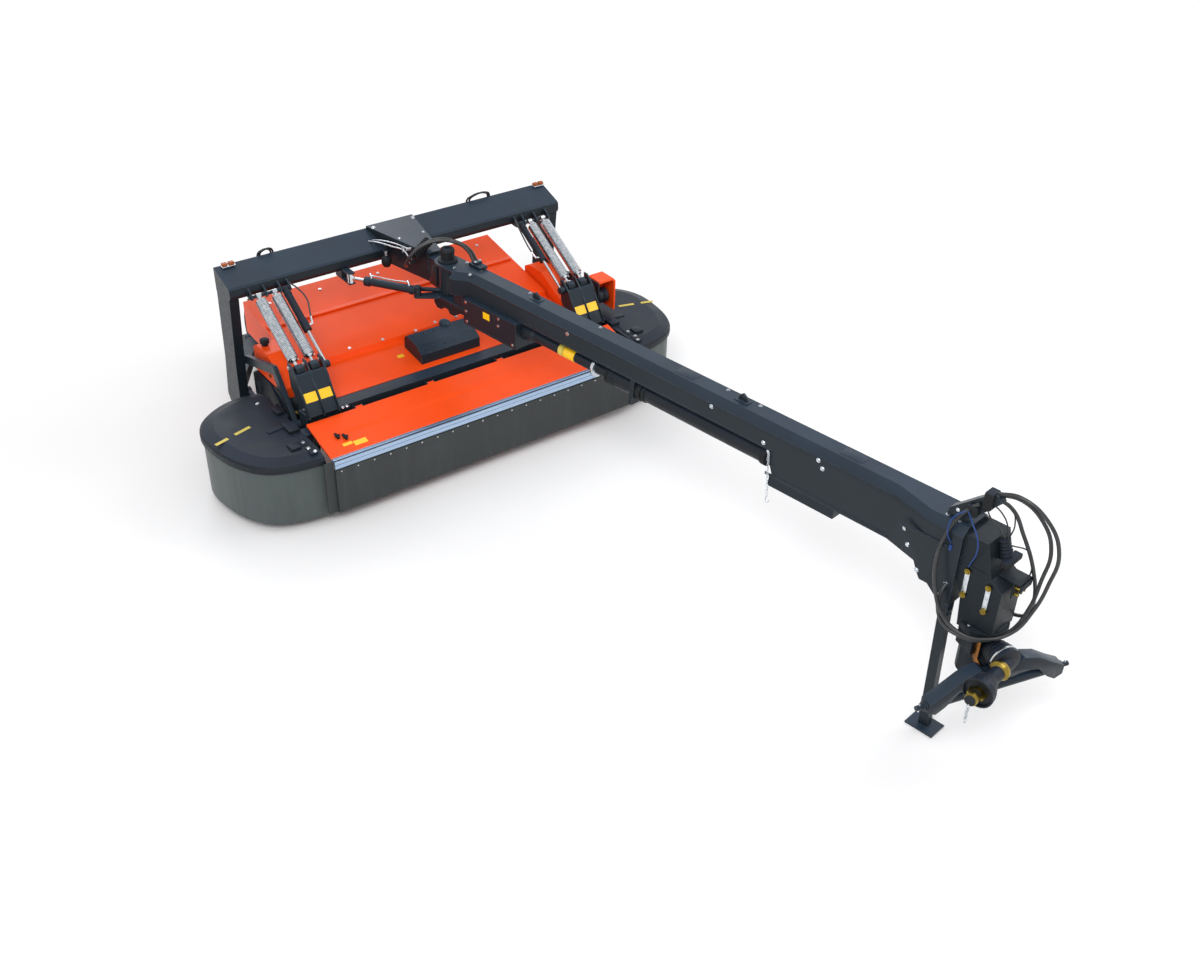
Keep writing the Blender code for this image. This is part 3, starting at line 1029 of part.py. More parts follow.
def make_drives(head):
    """The covers over the head's drives: one on the hood, one at each end."""
    front, rear = CAP_FRONT_Y, CAP_REAR_Y
    cap = slab([(front, hood_z(front) + SEAT), (rear, hood_z(rear) + SEAT), (rear, CAP_TOP_Z - CAP_EDGE),
                (rear - CAP_EDGE, CAP_TOP_Z), (front + CAP_EDGE * 2, CAP_TOP_Z - CAP_EDGE / 2),
                (front, CAP_TOP_Z - CAP_EDGE * 2)], 0, -CAP_HALF, CAP_HALF)
    node("transmission_cover", fuse([cap]), "black plastic", head)
    inner = -PLATE_OUT_X - SEAT
    case = slab(outline(CASE_SHARES, (CASE_FRONT_Y, CASE_LOW_Z),
                        (CASE_REAR_Y - CASE_FRONT_Y, CASE_TOP_Z - CASE_LOW_Z)), 0, inner - CASE_THICK, inner)
    adds = [case]
    for a, b in CASE_BUMP_SHARES:
        y = CASE_FRONT_Y + a * (CASE_REAR_Y - CASE_FRONT_Y)
        z = CASE_LOW_Z + b * (CASE_TOP_Z - CASE_LOW_Z)
        adds.append(bar((inner - CASE_THICK / 2, y, z), (inner - CASE_THICK - PLATE / 2, y, z),
                        CASE_BUMP_RADIUS, SIDES))
    node("roll_drive_case", fuse(adds), "black plastic", head)
    for side, word in ((-1, "right"), (1, "left")):
        low, high = sorted((side * GUARD_IN_X, side * GUARD_OUT_X))
        shape = slab(outline(GUARD_SHARES, (GUARD_FRONT_Y, GUARD_LOW_Z),
                             (GUARD_REAR_Y - GUARD_FRONT_Y, GUARD_TOP_Z - GUARD_LOW_Z)), 0, low, high)
        node("drive_guard_" + word, fuse([shape]), "orange paint", head)
    drum = [(radius * DRUM_RADIUS, at * DRUM_LONG) for radius, at in DRUM_SHARES]
    node("end_drum", fuse([turned(drum, (COVER_IN_X, DRUM_Y, DRUM_Z), (COVER_OUT_X, DRUM_Y, DRUM_Z), WHEEL_SIDES)]),
         "black plastic", head)
    high = DRUM_GUARD_TOP_Z - DRUM_GUARD_LOW_Z
    fold = slab(outline(DRUM_GUARD_SHARES, (COVER_IN_X, DRUM_GUARD_LOW_Z), (DRUM_GUARD_WIDE, high)), 1,
                DRUM_Y - DRUM_GUARD_HALF, DRUM_Y + DRUM_GUARD_HALF)
    back = box((COVER_IN_X, COVER_IN_X + DRUM_GUARD_WIDE - PLATE),
               (DRUM_Y + DRUM_GUARD_HALF - PLATE, DRUM_Y + DRUM_GUARD_HALF),
               (DRUM_GUARD_LOW_Z + high / 4, DRUM_GUARD_TOP_Z - PLATE))
    node("end_guard", fuse([fold, back]), "orange paint", head)


CONE_SHARES = ((0, 0), (0.7, 0), (1, 0.7), (1, 1), (0, 1.1))
MOUTH_SHARES = ((0, 0), (0.48, 0), (1, 0.5), (1, 0.6), (0, 0.6))


def make_pto(hitch):
    """The tractor half of the drive shaft, folded back on its wide-angle joint."""
    first = Vector((0, -LOW_GEAR_RADIUS - SEAT, PTO_Z))
    knee = first + Vector((0, -PTO_KNEE, 0))
    way = Vector((-math.sin(PTO_FOLD), -math.cos(PTO_FOLD), 0))
    second = knee + way * PTO_LONG
    tip = second + way * PTO_TIP
    cone = [(radius * PTO_CONE_RADIUS, at * PTO_KNEE) for radius, at in CONE_SHARES]
    mouth = [(radius * PTO_CONE_RADIUS, at * PTO_TIP) for radius, at in MOUTH_SHARES]
    adds = [turned(cone, first, knee, 24), bar(knee - way * PLATE, second, PTO_TUBE_RADIUS, SIDES),
            turned(mouth, second - way * PLATE, tip, 24), bar(second - way * PLATE, tip, PTO_TUBE_RADIUS * 0.75, 12)]
    node("pto_shaft", fuse(adds), "black plastic", hitch)


def make_swing_cylinder(swing):
    """A closed linkage opened at the rod's eye; the pin there stays on the portal."""
    base = Vector((*swing_pin(), SWING_Z))
    eye = Matrix.Rotation(-DRAWBAR_ANGLE, 4, "Z") @ Vector((SWING_ROD_X, SWING_ROD_Y - PIVOT_Y, SWING_Z))
    way = (eye - base).normalized()
    barrels = group("swing_barrels", swing, base)
    rods = group("swing_rods", barrels, base)
    half = Vector((0, 0, SWING_EYE_HALF - SEAT))
    mouth = base + way * SWING_BARREL_LONG
    bottom = base + way * SWING_EYE_RADIUS * 2
    jacket = [bar(base + way * SWING_PIN_RADIUS * 1.5, mouth, SWING_BARREL_RADIUS, SIDES),
              bar(base - half, base + half, SWING_EYE_RADIUS, SIDES)]
    bores = [bar(bottom, mouth + way * OVERRUN, SWING_ROD_RADIUS + PIN_PLAY, SIDES),
             bar(base - half * 2, base + half * 2, SWING_PIN_RADIUS + PIN_PLAY, EYE_SIDES)]
    node("swing_barrel", fuse(jacket, bores), "slate paint", barrels)
    node("swing_rod", fuse([bar(bottom + way * SWING_STROKE, eye, SWING_ROD_RADIUS, SIDES),
                            bar(eye - half, eye + half, SWING_EYE_RADIUS, SIDES)]), "chrome", rods)


def main():
    clear_scene()
    root = group("machine", None, (0, 0, 0))
    make_portal(root)
    make_legs(root)
    make_wheels(root)
    lower = make_links(root)
    head = group("head", lower, (0, *link_front(LOWER_PIN_Y, LOWER_PIN_Z)))
    make_head_frame(head)
    make_cutter_bar(head)
    make_discs(head)
    make_rolls(head)
    make_hood(head)
    make_front_guard(head)
    make_covers(head)
    make_drives(head)
    make_springs(root)
    swing, hitch = make_drawbar(root)
    make_pto(hitch)
    make_swing_cylinder(swing)
    settle(root)


main()
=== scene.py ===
"""Dresses a trailed disc mower conditioner: finishes, springs, hoses, tread, hitch parts and a studio."""
import math

import bmesh
import bpy
from bpy.props import FloatProperty, FloatVectorProperty, PointerProperty
from bpy.types import Operator, Panel, PropertyGroup
from mathutils import Matrix, Vector


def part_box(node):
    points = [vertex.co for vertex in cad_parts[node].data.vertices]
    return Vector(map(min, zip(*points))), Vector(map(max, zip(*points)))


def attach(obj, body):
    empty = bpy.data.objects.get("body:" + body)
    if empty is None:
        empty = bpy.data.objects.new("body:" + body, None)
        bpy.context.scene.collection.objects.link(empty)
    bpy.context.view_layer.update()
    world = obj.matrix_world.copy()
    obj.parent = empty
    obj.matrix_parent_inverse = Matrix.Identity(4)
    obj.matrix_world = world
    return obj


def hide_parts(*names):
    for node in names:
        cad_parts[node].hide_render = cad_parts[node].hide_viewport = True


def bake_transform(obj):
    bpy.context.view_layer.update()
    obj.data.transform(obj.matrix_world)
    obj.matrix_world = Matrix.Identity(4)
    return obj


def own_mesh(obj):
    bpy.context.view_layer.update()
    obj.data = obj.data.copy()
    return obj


bl_info = {
    "name": "Disc Mower Conditioner",
    "version": (1, 0, 0),
    "blender": (4, 5, 0),
    "location": "3D View > Sidebar > Mower",
    "description": "Finishes and small parts of a trailed disc mower conditioner",
    "category": "Object",
}

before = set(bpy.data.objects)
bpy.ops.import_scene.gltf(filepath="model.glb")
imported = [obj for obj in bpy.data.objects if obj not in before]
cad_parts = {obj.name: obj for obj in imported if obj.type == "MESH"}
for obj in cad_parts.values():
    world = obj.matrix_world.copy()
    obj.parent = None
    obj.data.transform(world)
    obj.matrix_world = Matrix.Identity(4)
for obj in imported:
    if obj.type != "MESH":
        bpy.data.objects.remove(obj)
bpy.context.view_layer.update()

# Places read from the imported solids, so that the dressing follows them.
BEAM_HIGH = Vector(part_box("portal_beam")[1])
BEAM_REAR_Y = 0.31
ORIGIN = Vector((0, BEAM_HIGH.y - BEAM_REAR_Y, 0))
MACHINE = Matrix.Translation(ORIGIN)
PIVOT_Y = -0.715
DRAWBAR_ANGLE = math.radians(8.6)
HITCH_AT = 5.36
HITCH_YAW = math.radians(-22.8)
DRAWBAR = MACHINE @ Matrix.Translation((0, PIVOT_Y, 0)) @ Matrix.Rotation(DRAWBAR_ANGLE, 4, "Z")
HITCH = DRAWBAR @ Matrix.Translation((0, -HITCH_AT, 0)) @ Matrix.Rotation(HITCH_YAW, 4, "Z")
WORLD = Matrix.Identity(4)
PLACES = {"drawbar": DRAWBAR, "hitch": HITCH}        # the frame in which a body's pieces are drawn
UP = (0, 0, 1)
SHARP = math.radians(38)                             # edges that turn by more are shaded sharp


def linear(code):
    """An sRGB hex value as a linear colour."""
    levels = [int(code[i:i + 2], 16) / 255 for i in (0, 2, 4)]
    return tuple(v / 12.92 if v <= 0.04045 else ((v + 0.055) / 1.055) ** 2.4 for v in levels)


def tone(name, code, words):
    return FloatVectorProperty(name=name, description=words, subtype="COLOR", size=3, min=0, max=1,
                               default=linear(code))


def length(name, metres, words):
    return FloatProperty(name=name, description=words, unit="LENGTH", min=0, default=metres)


class MowerColours(PropertyGroup):
    slate: tone("Slate paint", "1B242B", "Powder coat on the frames and drawbar")
    orange: tone("Orange paint", "FF5111", "Enamel on the hood, deck and guards")
    plastic: tone("Black plastic", "161B21", "Moulded covers and shaft guards")
    curtain: tone("Curtain rubber", "262A2B", "Rubber sheet across the front")
    skirt: tone("Skirt cloth", "464F4F", "Coated cloth round the ends")
    label: tone("Label yellow", "FFCC12", "Blank warning plates")


class MowerSizes(PropertyGroup):
    hose: length("Hose radius", 0.013, "Outer radius of a hydraulic hose")
    lead: length("Lead radius", 0.005, "Outer radius of a lamp lead")
    wire: length("Spring wire radius", 0.0068, "Radius of the wire in the weight springs")
    coil: length("Spring coil radius", 0.0425, "Radius of the weight springs to the wire's middle")
    bolt: length("Bolt head radius", 0.014, "Half the width of a common bolt head")


def sizes():
    return bpy.context.scene.mower_sizes


def colours():
    return bpy.context.scene.mower_colours


# Shapes. Each function returns a new bmesh, drawn in the frame of the part that carries it.
def aim(start, end):
    """The placing of a shape drawn along +Z so that it runs from start to end."""
    start, end = Vector(start), Vector(end)
    return Matrix.Translation(start) @ (end - start).to_track_quat("Z", "Y").to_matrix().to_4x4()


def round_off(shape, edge, sharp=30):
    """Rounds the edges that turn by more than the given angle."""
    if edge:
        creases = [e for e in shape.edges
                   if len(e.link_faces) == 2 and e.calc_face_angle(0) > math.radians(sharp)]
        bmesh.ops.bevel(shape, geom=creases, offset=edge, affect="EDGES", segments=2, profile=0.5,
                        material=-1, clamp_overlap=True)
    return shape


def block(low, high, edge=0.0):
    """A box between two corners."""
    low, high = Vector(low), Vector(high)
    shape = bmesh.new()
    bmesh.ops.create_cube(shape, size=1, matrix=Matrix.Translation((low + high) / 2)
                          @ Matrix.Diagonal((*(high - low), 1)))
    return round_off(shape, edge)


def beam(start, end, wide, high, edge=0.0):
    """A square bar between two points."""
    shape = block((-wide / 2, -high / 2, 0), (wide / 2, high / 2, (Vector(end) - Vector(start)).length),
                  edge)
    shape.transform(aim(start, end))
    return shape


def rod(start, end, radius, sides=20, far=None, edge=0.0):
    """A round bar, or a cone where the far radius is given."""
    long = (Vector(end) - Vector(start)).length
    shape = bmesh.new()
    bmesh.ops.create_cone(shape, cap_ends=True, segments=sides, radius1=radius,
                          radius2=radius if far is None else far, depth=long,
                          matrix=aim(start, end) @ Matrix.Translation((0, 0, long / 2)))
    return round_off(shape, edge, 60)


def lathe(profile, start, end, sides=32):
    """A profile of (radius, height) points spun round the line from start to end."""
    shape = bmesh.new()
    verts = [shape.verts.new((radius, 0, high)) for radius, high in profile]
    edges = [shape.edges.new(pair) for pair in zip(verts, verts[1:])]
    bmesh.ops.spin(shape, geom=verts + edges, cent=(0, 0, 0), axis=UP, angle=math.tau, steps=sides,
                   use_merge=True)
    bmesh.ops.remove_doubles(shape, verts=shape.verts, dist=0.00005)
    bmesh.ops.recalc_face_normals(shape, faces=shape.faces)
    shape.transform(aim(start, end))
    return shape


def slab(points, axis, low, high, edge=0.0):
    """A flat outline pulled along one axis."""
    def spot(a, b):
        place = [a, b]
        place.insert(axis, low)
        return place
    shape = bmesh.new()
    face = shape.faces.new([shape.verts.new(spot(a, b)) for a, b in points])
    grown = bmesh.ops.extrude_face_region(shape, geom=[face])["geom"]
    way = [0, 0, 0]
    way[axis] = high - low
    bmesh.ops.translate(shape, verts=[v for v in grown if isinstance(v, bmesh.types.BMVert)], vec=way)
    bmesh.ops.recalc_face_normals(shape, faces=shape.faces)
    return round_off(shape, edge)


def hose(points, radius):
    """A round hose on one smooth curve through the given points."""
    curve = bpy.data.curves.new("route", "CURVE")
    curve.dimensions = "3D"
    curve.bevel_depth = radius
    curve.bevel_resolution = 3
    curve.use_fill_caps = True
    spline = curve.splines.new("BEZIER")
    spline.bezier_points.add(len(points) - 1)
    for spot, place in zip(spline.bezier_points, points):
        spot.co = place
        spot.handle_left_type = spot.handle_right_type = "AUTO"
    spline.resolution_u = 8
    holder = bpy.data.objects.new("route", curve)
    bpy.context.scene.collection.objects.link(holder)
    graph = bpy.context.evaluated_depsgraph_get()
    mesh = bpy.data.meshes.new_from_object(holder.evaluated_get(graph))
    shape = bmesh.new()
    shape.from_mesh(mesh)
    bmesh.ops.remove_doubles(shape, verts=shape.verts, dist=0.0001)
    bpy.data.objects.remove(holder, do_unlink=True)
    bpy.data.curves.remove(curve)
    bpy.data.meshes.remove(mesh)
    return shape


def bolt(at, way, radius=None):
    """A hexagon bolt head on its washer."""
    radius = radius or sizes().bolt
    at, way = Vector(at), Vector(way).normalized()
    return [rod(at - way * radius / 4, at + way * radius / 5, radius * 1.35, 16),
            rod(at, at + way * radius * 0.8, radius, 6, radius * 0.93)]


def plate(low, high, edge=0.002):
    """A block between any two corners."""
    return block([min(a, b) for a, b in zip(low, high)], [max(a, b) for a, b in zip(low, high)], edge)


def plates(rows, side=1):
    """Plates from rows of two corners and an edge. On the right side, -1, they are mirrored."""
    return [plate((side * a[0], *a[1:]), (side * b[0], *b[1:]), edge) for a, b, edge in rows]


def along(s, w, z):
    """A point from its place along the drawbar, across it and up."""
    return (w, -s, z)


def strips(rows):
    """Plates in the drawbar's frame, from rows of two corners given as for along, and an edge."""
    return [plate(along(*row[:3]), along(*row[3:6]), row[6]) for row in rows]


def placed(shape, matrix):
    """The same shape, moved."""
    shape.transform(matrix)
    return shape


def chain(places, inner, middle, outer, thick):
    """Links at the given places, each a quarter turn from the one before."""
    ring = [(middle, -thick), (outer, 0), (middle, thick), (inner, 0), (middle, -thick)]
    return [placed(lathe(ring, (0, 0, 0), (1, 0, 0), 12),
                   Matrix.Translation(place) @ Matrix.Rotation(index % 2 * math.pi / 2, 4, "Z")
                   @ Matrix.Diagonal((1, 1, 1.7, 1)))
            for index, place in enumerate(places)]


def flat(items):
    """Shapes from a list that may hold lists."""
    out = []
    for item in items:
        out.extend(flat(item) if isinstance(item, (list, tuple)) else [item])
    return out


def piece(name, shapes, coat, body, place=None):
    """Gathers shapes into one object with its place in its mesh, and lets it ride on a body.

    The coat is a finish's name or a material. Where no place is given, it is the frame of the body.
    """
    total = bmesh.new()
    for shape in flat([shapes]):
        part = bpy.data.meshes.new("part")
        shape.to_mesh(part)
        shape.free()
        total.from_mesh(part)
        bpy.data.meshes.remove(part)
    total.transform(PLACES.get(body, MACHINE) if place is None else place)
    mesh = bpy.data.meshes.new(name)
    total.to_mesh(mesh)
    total.free()
    mesh.shade_smooth()
    mesh.set_sharp_from_angle(angle=SHARP)
    mesh.materials.append(finish(coat) if isinstance(coat, str) else coat)
    made = bpy.data.objects.new(name, mesh)
    bpy.context.scene.collection.objects.link(made)
    if body:
        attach(made, body)
    return made


# Finishes.
def add_node(tree, kind, settings=(), links=()):
    """Adds a shader node with its settings, socket values and incoming links."""
    made = tree.nodes.new("ShaderNode" + kind)
    for key, value in dict(settings).items():
        if isinstance(key, int) or key in made.inputs:
            made.inputs[key].default_value = value
        else:
            setattr(made, key, value)
    for key, source in dict(links).items():
        tree.links.new(source, made.inputs[key])
    return made


def start_finish(name, base, rough, more=()):
    """A new material with its Principled shader set, and its node tree and object coordinates."""
    made = bpy.data.materials.new(name)
    made.use_nodes = True
    tree = made.node_tree
    shader = tree.nodes["Principled BSDF"]
    for key, value in {"Base Color": (*base, 1), "Roughness": rough, **dict(more)}.items():
        shader.inputs[key].default_value = value
    where = add_node(tree, "TexCoord").outputs["Object"]
    made.diffuse_color = (*base, 1)
    return made, tree, shader, where


def speckle(tree, where, per_metre, detail=3.0, rough=0.55, stretch=(1, 1, 1)):
    """Cloudy noise of a given number of cells to the metre.

    Grains are drawn at 160 to 600 to the metre, so 2 to 6 mm wide. The real ones are finer and wouldn't show.
    """
    scaled = add_node(tree, "Mapping", {"Scale": stretch}, {"Vector": where}).outputs["Vector"]
    return add_node(tree, "TexNoise", {"Scale": per_metre, "Detail": detail, "Roughness": rough},
                    {"Vector": scaled}).outputs["Fac"]


def between(tree, fac, low, high, to_low, to_high):
    """Maps a value from one range to another, clamped."""
    return add_node(tree, "MapRange", {"From Min": low, "From Max": high, "To Min": to_low,
                                       "To Max": to_high}, {"Value": fac}).outputs["Result"]


def tint(tree, fac, first, second):
    """A colour mixed from two by a value. The first may be a socket."""
    node = add_node(tree, "Mix", {"data_type": "RGBA", 7: (*second, 1)}, {0: fac})
    if isinstance(first, bpy.types.NodeSocket):
        tree.links.new(first, node.inputs[6])
    else:
        node.inputs[6].default_value = (*first, 1)
    return node.outputs[2]


def coloured(tree, shader, colour, rough=None):
    """Links a colour, and where given a roughness, into the shader."""
    tree.links.new(colour, shader.inputs["Base Color"])
    if rough:
        tree.links.new(rough, shader.inputs["Roughness"])


def bumped(tree, shader, height, metres, strength=1.0, base=None):
    """Links a height as a bump of a real depth."""
    links = {"Height": height}
    if base:
        links["Normal"] = base
    bump = add_node(tree, "Bump", {"Strength": strength, "Distance": metres}, links).outputs["Normal"]
    tree.links.new(bump, shader.inputs["Normal"])
    return bump


def edge_mask(tree, radius):
    """High where a solid's edge is within the radius."""
    soft = add_node(tree, "Bevel", {"samples": 4, "Radius": radius}).outputs["Normal"]
    true = add_node(tree, "NewGeometry").outputs["Normal"]
    same = add_node(tree, "VectorMath", {"operation": "DOT_PRODUCT"}, {0: soft, 1: true}).outputs["Value"]
    return between(tree, same, 0.99, 0.80, 0.0, 1.0)


def upward(tree):
    """High on faces that look up; it masks the painted sky reflection on top faces."""
    true = add_node(tree, "NewGeometry").outputs["Normal"]
    return between(tree, add_node(tree, "SeparateXYZ", (), {0: true}).outputs["Z"], 0.35, 0.95, 0.0, 1.0)


def product(tree, first, second):
    """Two values multiplied and clamped. The second may be a socket."""
    settings, links = {"operation": "MULTIPLY", "use_clamp": True}, {0: first}
    (links if isinstance(second, bpy.types.NodeSocket) else settings)[1] = second
    return add_node(tree, "Math", settings, links).outputs[0]


def darker(colour, part):
    return tuple(part * level for level in colour)


FINISHES = {}


def finish(name):
    """A finish by its name, made the first time it is asked for."""
    if name not in FINISHES:
        FINISHES[name] = MAKERS[name]()
    return FINISHES[name]


def powder_coat(name, paint, painted_sky_tone, worn, rough=0.38, painted_sky_amount=0.5):
    """Powder-coated steel plate: fine orange peel, rubbed edges, and a painted sky reflection, a paler tint,
    on what faces up.
    """
    made, tree, shader, where = start_finish(name, paint, rough,
                                             {"IOR": 1.5, "Specular IOR Level": 0.2, "Coat Weight": 0.06,
                                              "Coat Roughness": 0.2})
    clouds = speckle(tree, where, 2.2, 4)
    fine = speckle(tree, where, 38, 5, 0.65)
    shade = tint(tree, between(tree, clouds, 0.35, 0.7, 0, 0.5), paint, darker(paint, 0.78))
    # Painted sky reflection: faces that look up are tinted towards the sky tone, in clouds.
    soiling_and_sky_reflection = product(tree, product(tree, upward(tree), between(tree, clouds, 0.3, 0.7, 0.55, 1.0)), painted_sky_amount)
    rub = product(tree, edge_mask(tree, 0.004), between(tree, fine, 0.38, 0.6, 0.1, 0.75))
    coloured(tree, shader, tint(tree, rub, tint(tree, soiling_and_sky_reflection, shade, painted_sky_tone), worn),
             between(tree, fine, 0.3, 0.7, rough - 0.06, rough + 0.12))
    soft = add_node(tree, "Bevel", {"samples": 4, "Radius": 0.0025}).outputs["Normal"]
    peel = speckle(tree, where, 420, 2)   # grains of 2.4 mm
    bumped(tree, shader, peel, 0.00018, 0.35, soft)
    return made


def slate_coat():
    # The bluish second tone is a painted sky reflection on faces that look up.
    return powder_coat("slate powder coat", colours().slate, linear("3C4F66"), linear("6E7C86"), 0.34, 0.45)


def cast_coat():
    """Painted cast iron: a sandy skin."""
    # The bluish second tone is a painted sky reflection on faces that look up.
    made = powder_coat("painted cast iron", darker(colours().slate, 0.72), linear("3A444E"),
                       linear("5A656D"), 0.5, 0.3)
    tree = made.node_tree
    where = add_node(tree, "TexCoord").outputs["Object"]
    bumped(tree, tree.nodes["Principled BSDF"], speckle(tree, where, 160, 3), 0.0011, 0.5)
    return made


def orange_coat():
    # The paler orange second tone is a painted sky reflection on faces that look up.
    return powder_coat("orange enamel", colours().orange, linear("FF5A2C"), linear("FF8A58"), 0.36, 0.08)


MOULDED = {"IOR": 1.49, "Specular IOR Level": 0.25}


def moulded(name, base, grain, rough, edge_tone):
    """Injection-moulded polyethylene or ABS: a spark-eroded grain, paler along the edges, and a painted
    bluish sky reflection on what faces up.
    """
    made, tree, shader, where = start_finish(name, base, rough, MOULDED)
    clouds = speckle(tree, where, 5, 4)
    # Painted sky reflection: faces that look up are tinted bluish, in clouds.
    soiling_and_sky_reflection = product(tree, product(tree, upward(tree), clouds), 0.35)
    shade = tint(tree, product(tree, edge_mask(tree, 0.005), 0.5), tint(tree, soiling_and_sky_reflection, base, linear("2E4260")),
                 edge_tone)
    coloured(tree, shader, shade, between(tree, clouds, 0.3, 0.7, rough - 0.06, rough + 0.1))
    soft = add_node(tree, "Bevel", {"samples": 4, "Radius": 0.004}).outputs["Normal"]
    bumped(tree, shader, speckle(tree, where, grain, 2), 0.0003, 0.4, soft)
    return made


def black_plastic():
    return moulded("moulded black plastic", colours().plastic, 500, 0.45, linear("4A5259"))


def curtain_rubber():
    """Fabric-reinforced rubber sheet: hangs in slow waves, with a fine cord print and dusty streaks."""
    base = colours().curtain
    made, tree, shader, where = start_finish("curtain rubber", base, 0.62, {"IOR": 1.52})
    streak = speckle(tree, where, 9, 4, 0.6, (1, 1, 0.12))
    soiling_and_sky_reflection = product(tree, between(tree, streak, 0.42, 0.75, 0, 1), 0.3)
    coloured(tree, shader, tint(tree, soiling_and_sky_reflection, base, linear("51585A")),
             between(tree, streak, 0.3, 0.7, 0.52, 0.72))
    cords = add_node(tree, "TexWave", {"wave_type": "BANDS", "bands_direction": "DIAGONAL", "Scale": 60.0,
                                       "Distortion": 0.4}, {"Vector": where}).outputs["Fac"]
    folds = speckle(tree, where, 3.2, 2, 0.4, (1, 1, 0.25))
    bumped(tree, shader, folds, 0.02, 0.45, bumped(tree, shader, cords, 0.0004, 0.25))
    return made


def skirt_cloth():
    """PVC-coated polyester cloth: a plain weave under the coat, soft folds, dusty at the hem."""
    base = colours().skirt
    made, tree, shader, where = start_finish("coated skirt cloth", base, 0.7,
                                             {"Sheen Weight": 0.15, "IOR": 1.5})
    streak = speckle(tree, where, 6, 4, 0.6, (1, 1, 0.2))
    coloured(tree, shader, tint(tree, between(tree, streak, 0.3, 0.75, 0, 0.7), base, darker(base, 0.62)))
    weave = add_node(tree, "TexVoronoi", {"Scale": 300.0}, {"Vector": where}).outputs["Distance"]
    cloth = bumped(tree, shader, weave, 0.0003, 0.3)
    bumped(tree, shader, speckle(tree, where, 4.5, 2, 0.45, (1, 1, 0.22)), 0.02, 0.5, cloth)
    return made


def plated(name, first, second, rough, cells):
    """Plated steel: two close tones in clouds, as the passivate layer leaves them."""
    made, tree, shader, where = start_finish(name, first, rough, {"Metallic": 1.0})
    clouds = speckle(tree, where, cells, 4, 0.6)
    coloured(tree, shader, tint(tree, between(tree, clouds, 0.35, 0.65, 0, 1), first, second),
             between(tree, clouds, 0.3, 0.7, rough - 0.05, rough + 0.12))
    bumped(tree, shader, speckle(tree, where, 260, 3), 0.0002, 0.3)
    return made


def strip_metal():
    """Anodised aluminium edging, brushed along its length."""
    made, tree, shader, where = start_finish("anodised edging", linear("A4B9D2"), 0.34, {"Metallic": 0.85})
    brush = speckle(tree, where, 160, 3, 0.6, (0.02, 1, 1))
    coloured(tree, shader, tint(tree, brush, linear("86A6CC"), linear("C2D2E4")))
    bumped(tree, shader, brush, 0.0003, 0.3)
    return made


def mottled(name, base, rough, more, clouds, spread, tones, grain=None):
    """A plain skin with two close tones in clouds and, where given, a fine grain.

    Clouds are cells to the metre and detail. The spread is where the second tone starts, where it is full,
    and how much of it shows then. Grain is cells to the metre, detail, depth and strength.
    """
    made, tree, shader, where = start_finish(name, base, rough, more)
    low, full, most = spread
    coloured(tree, shader,
             tint(tree, between(tree, speckle(tree, where, *clouds), low, full, 0, most), *tones))
    if grain:
        bumped(tree, shader, speckle(tree, where, *grain[:2]), *grain[2:])
    return made


def tyre_rubber():
    """Tyre rubber: dusty in the shoulders, with a faint moulding sheen."""
    return mottled("tyre rubber", linear("1D1E1F"), 0.8, {"IOR": 1.52}, (7, 5), (0.4, 0.7, 0.5),
                   (linear("1B1C1D"), linear("3A3835")), (300, 2, 0.0004, 0.4))


def label_vinyl():
    """Printed vinyl on the warning plates, left blank and a little faded."""
    base = colours().label
    return mottled("blank yellow vinyl", base, 0.35, {"Coat Weight": 0.3}, (12, 4), (0.35, 0.75, 0.6),
                   (base, linear("F2B40A")))


def hose_rubber():
    """Wrapped hydraulic hose: the print of the curing cloth runs round it."""
    return mottled("wrapped hose rubber", linear("1A1C1E"), 0.42, {"IOR": 1.52, "Coat Weight": 0.15},
                   (14, 4), (0.4, 0.7, 0.6), (linear("17191B"), linear("2E3236")), (500, 2, 0.0003, 0.4))


def plain_plastic(name, code, rough):
    """Small moulded parts in one colour."""
    base = linear(code)
    return mottled(name, base, rough, MOULDED, (30, 3), (0.35, 0.7, 0.5), (base, darker(base, 0.7)),
                   (600, 2, 0.0002, 0.3))


MAKERS = {"slate": slate_coat, "cast": cast_coat, "orange": orange_coat, "plastic": black_plastic,
          "curtain": curtain_rubber, "skirt": skirt_cloth, "tyre": tyre_rubber,
          "zinc": lambda: plated("bright zinc plate", linear("DADEE2"), linear("B2B9C0"), 0.2, 40),
          "chrome": lambda: plated("hard chrome", linear("DEE1E4"), linear("C9CED3"), 0.1, 6),
          "gold": lambda: plated("yellow zinc plate", linear("9A8434"), linear("7C6A34"), 0.3, 22),
          "bronze": lambda: plated("weathered brass strap", linear("8A5A2E"), linear("A8763C"), 0.42, 14),
          "blade": lambda: plated("worn blade steel", linear("8A8D90"), linear("6C6A66"), 0.38, 12),
          # The wheel paint's paler second tone is a painted sky reflection on faces that look up.
          "rim": lambda: powder_coat("wheel paint", linear("C6CACC"), linear("D5D6D4"), linear("8A8E90"),
                                     0.4, 0.2), "strip": strip_metal, "label": label_vinyl,
          "pale_label": lambda: plain_plastic("faded reflector tape", "D8C45A", 0.4), "hose": hose_rubber,
          "blue": lambda: plain_plastic("blue lead sheath", "23427E", 0.4),
          "amber": lambda: plain_plastic("amber reflector", "A4542A", 0.3),
          "dark": lambda: moulded("dark rubber boot", linear("16181A"), 300, 0.6, linear("33383C")), }

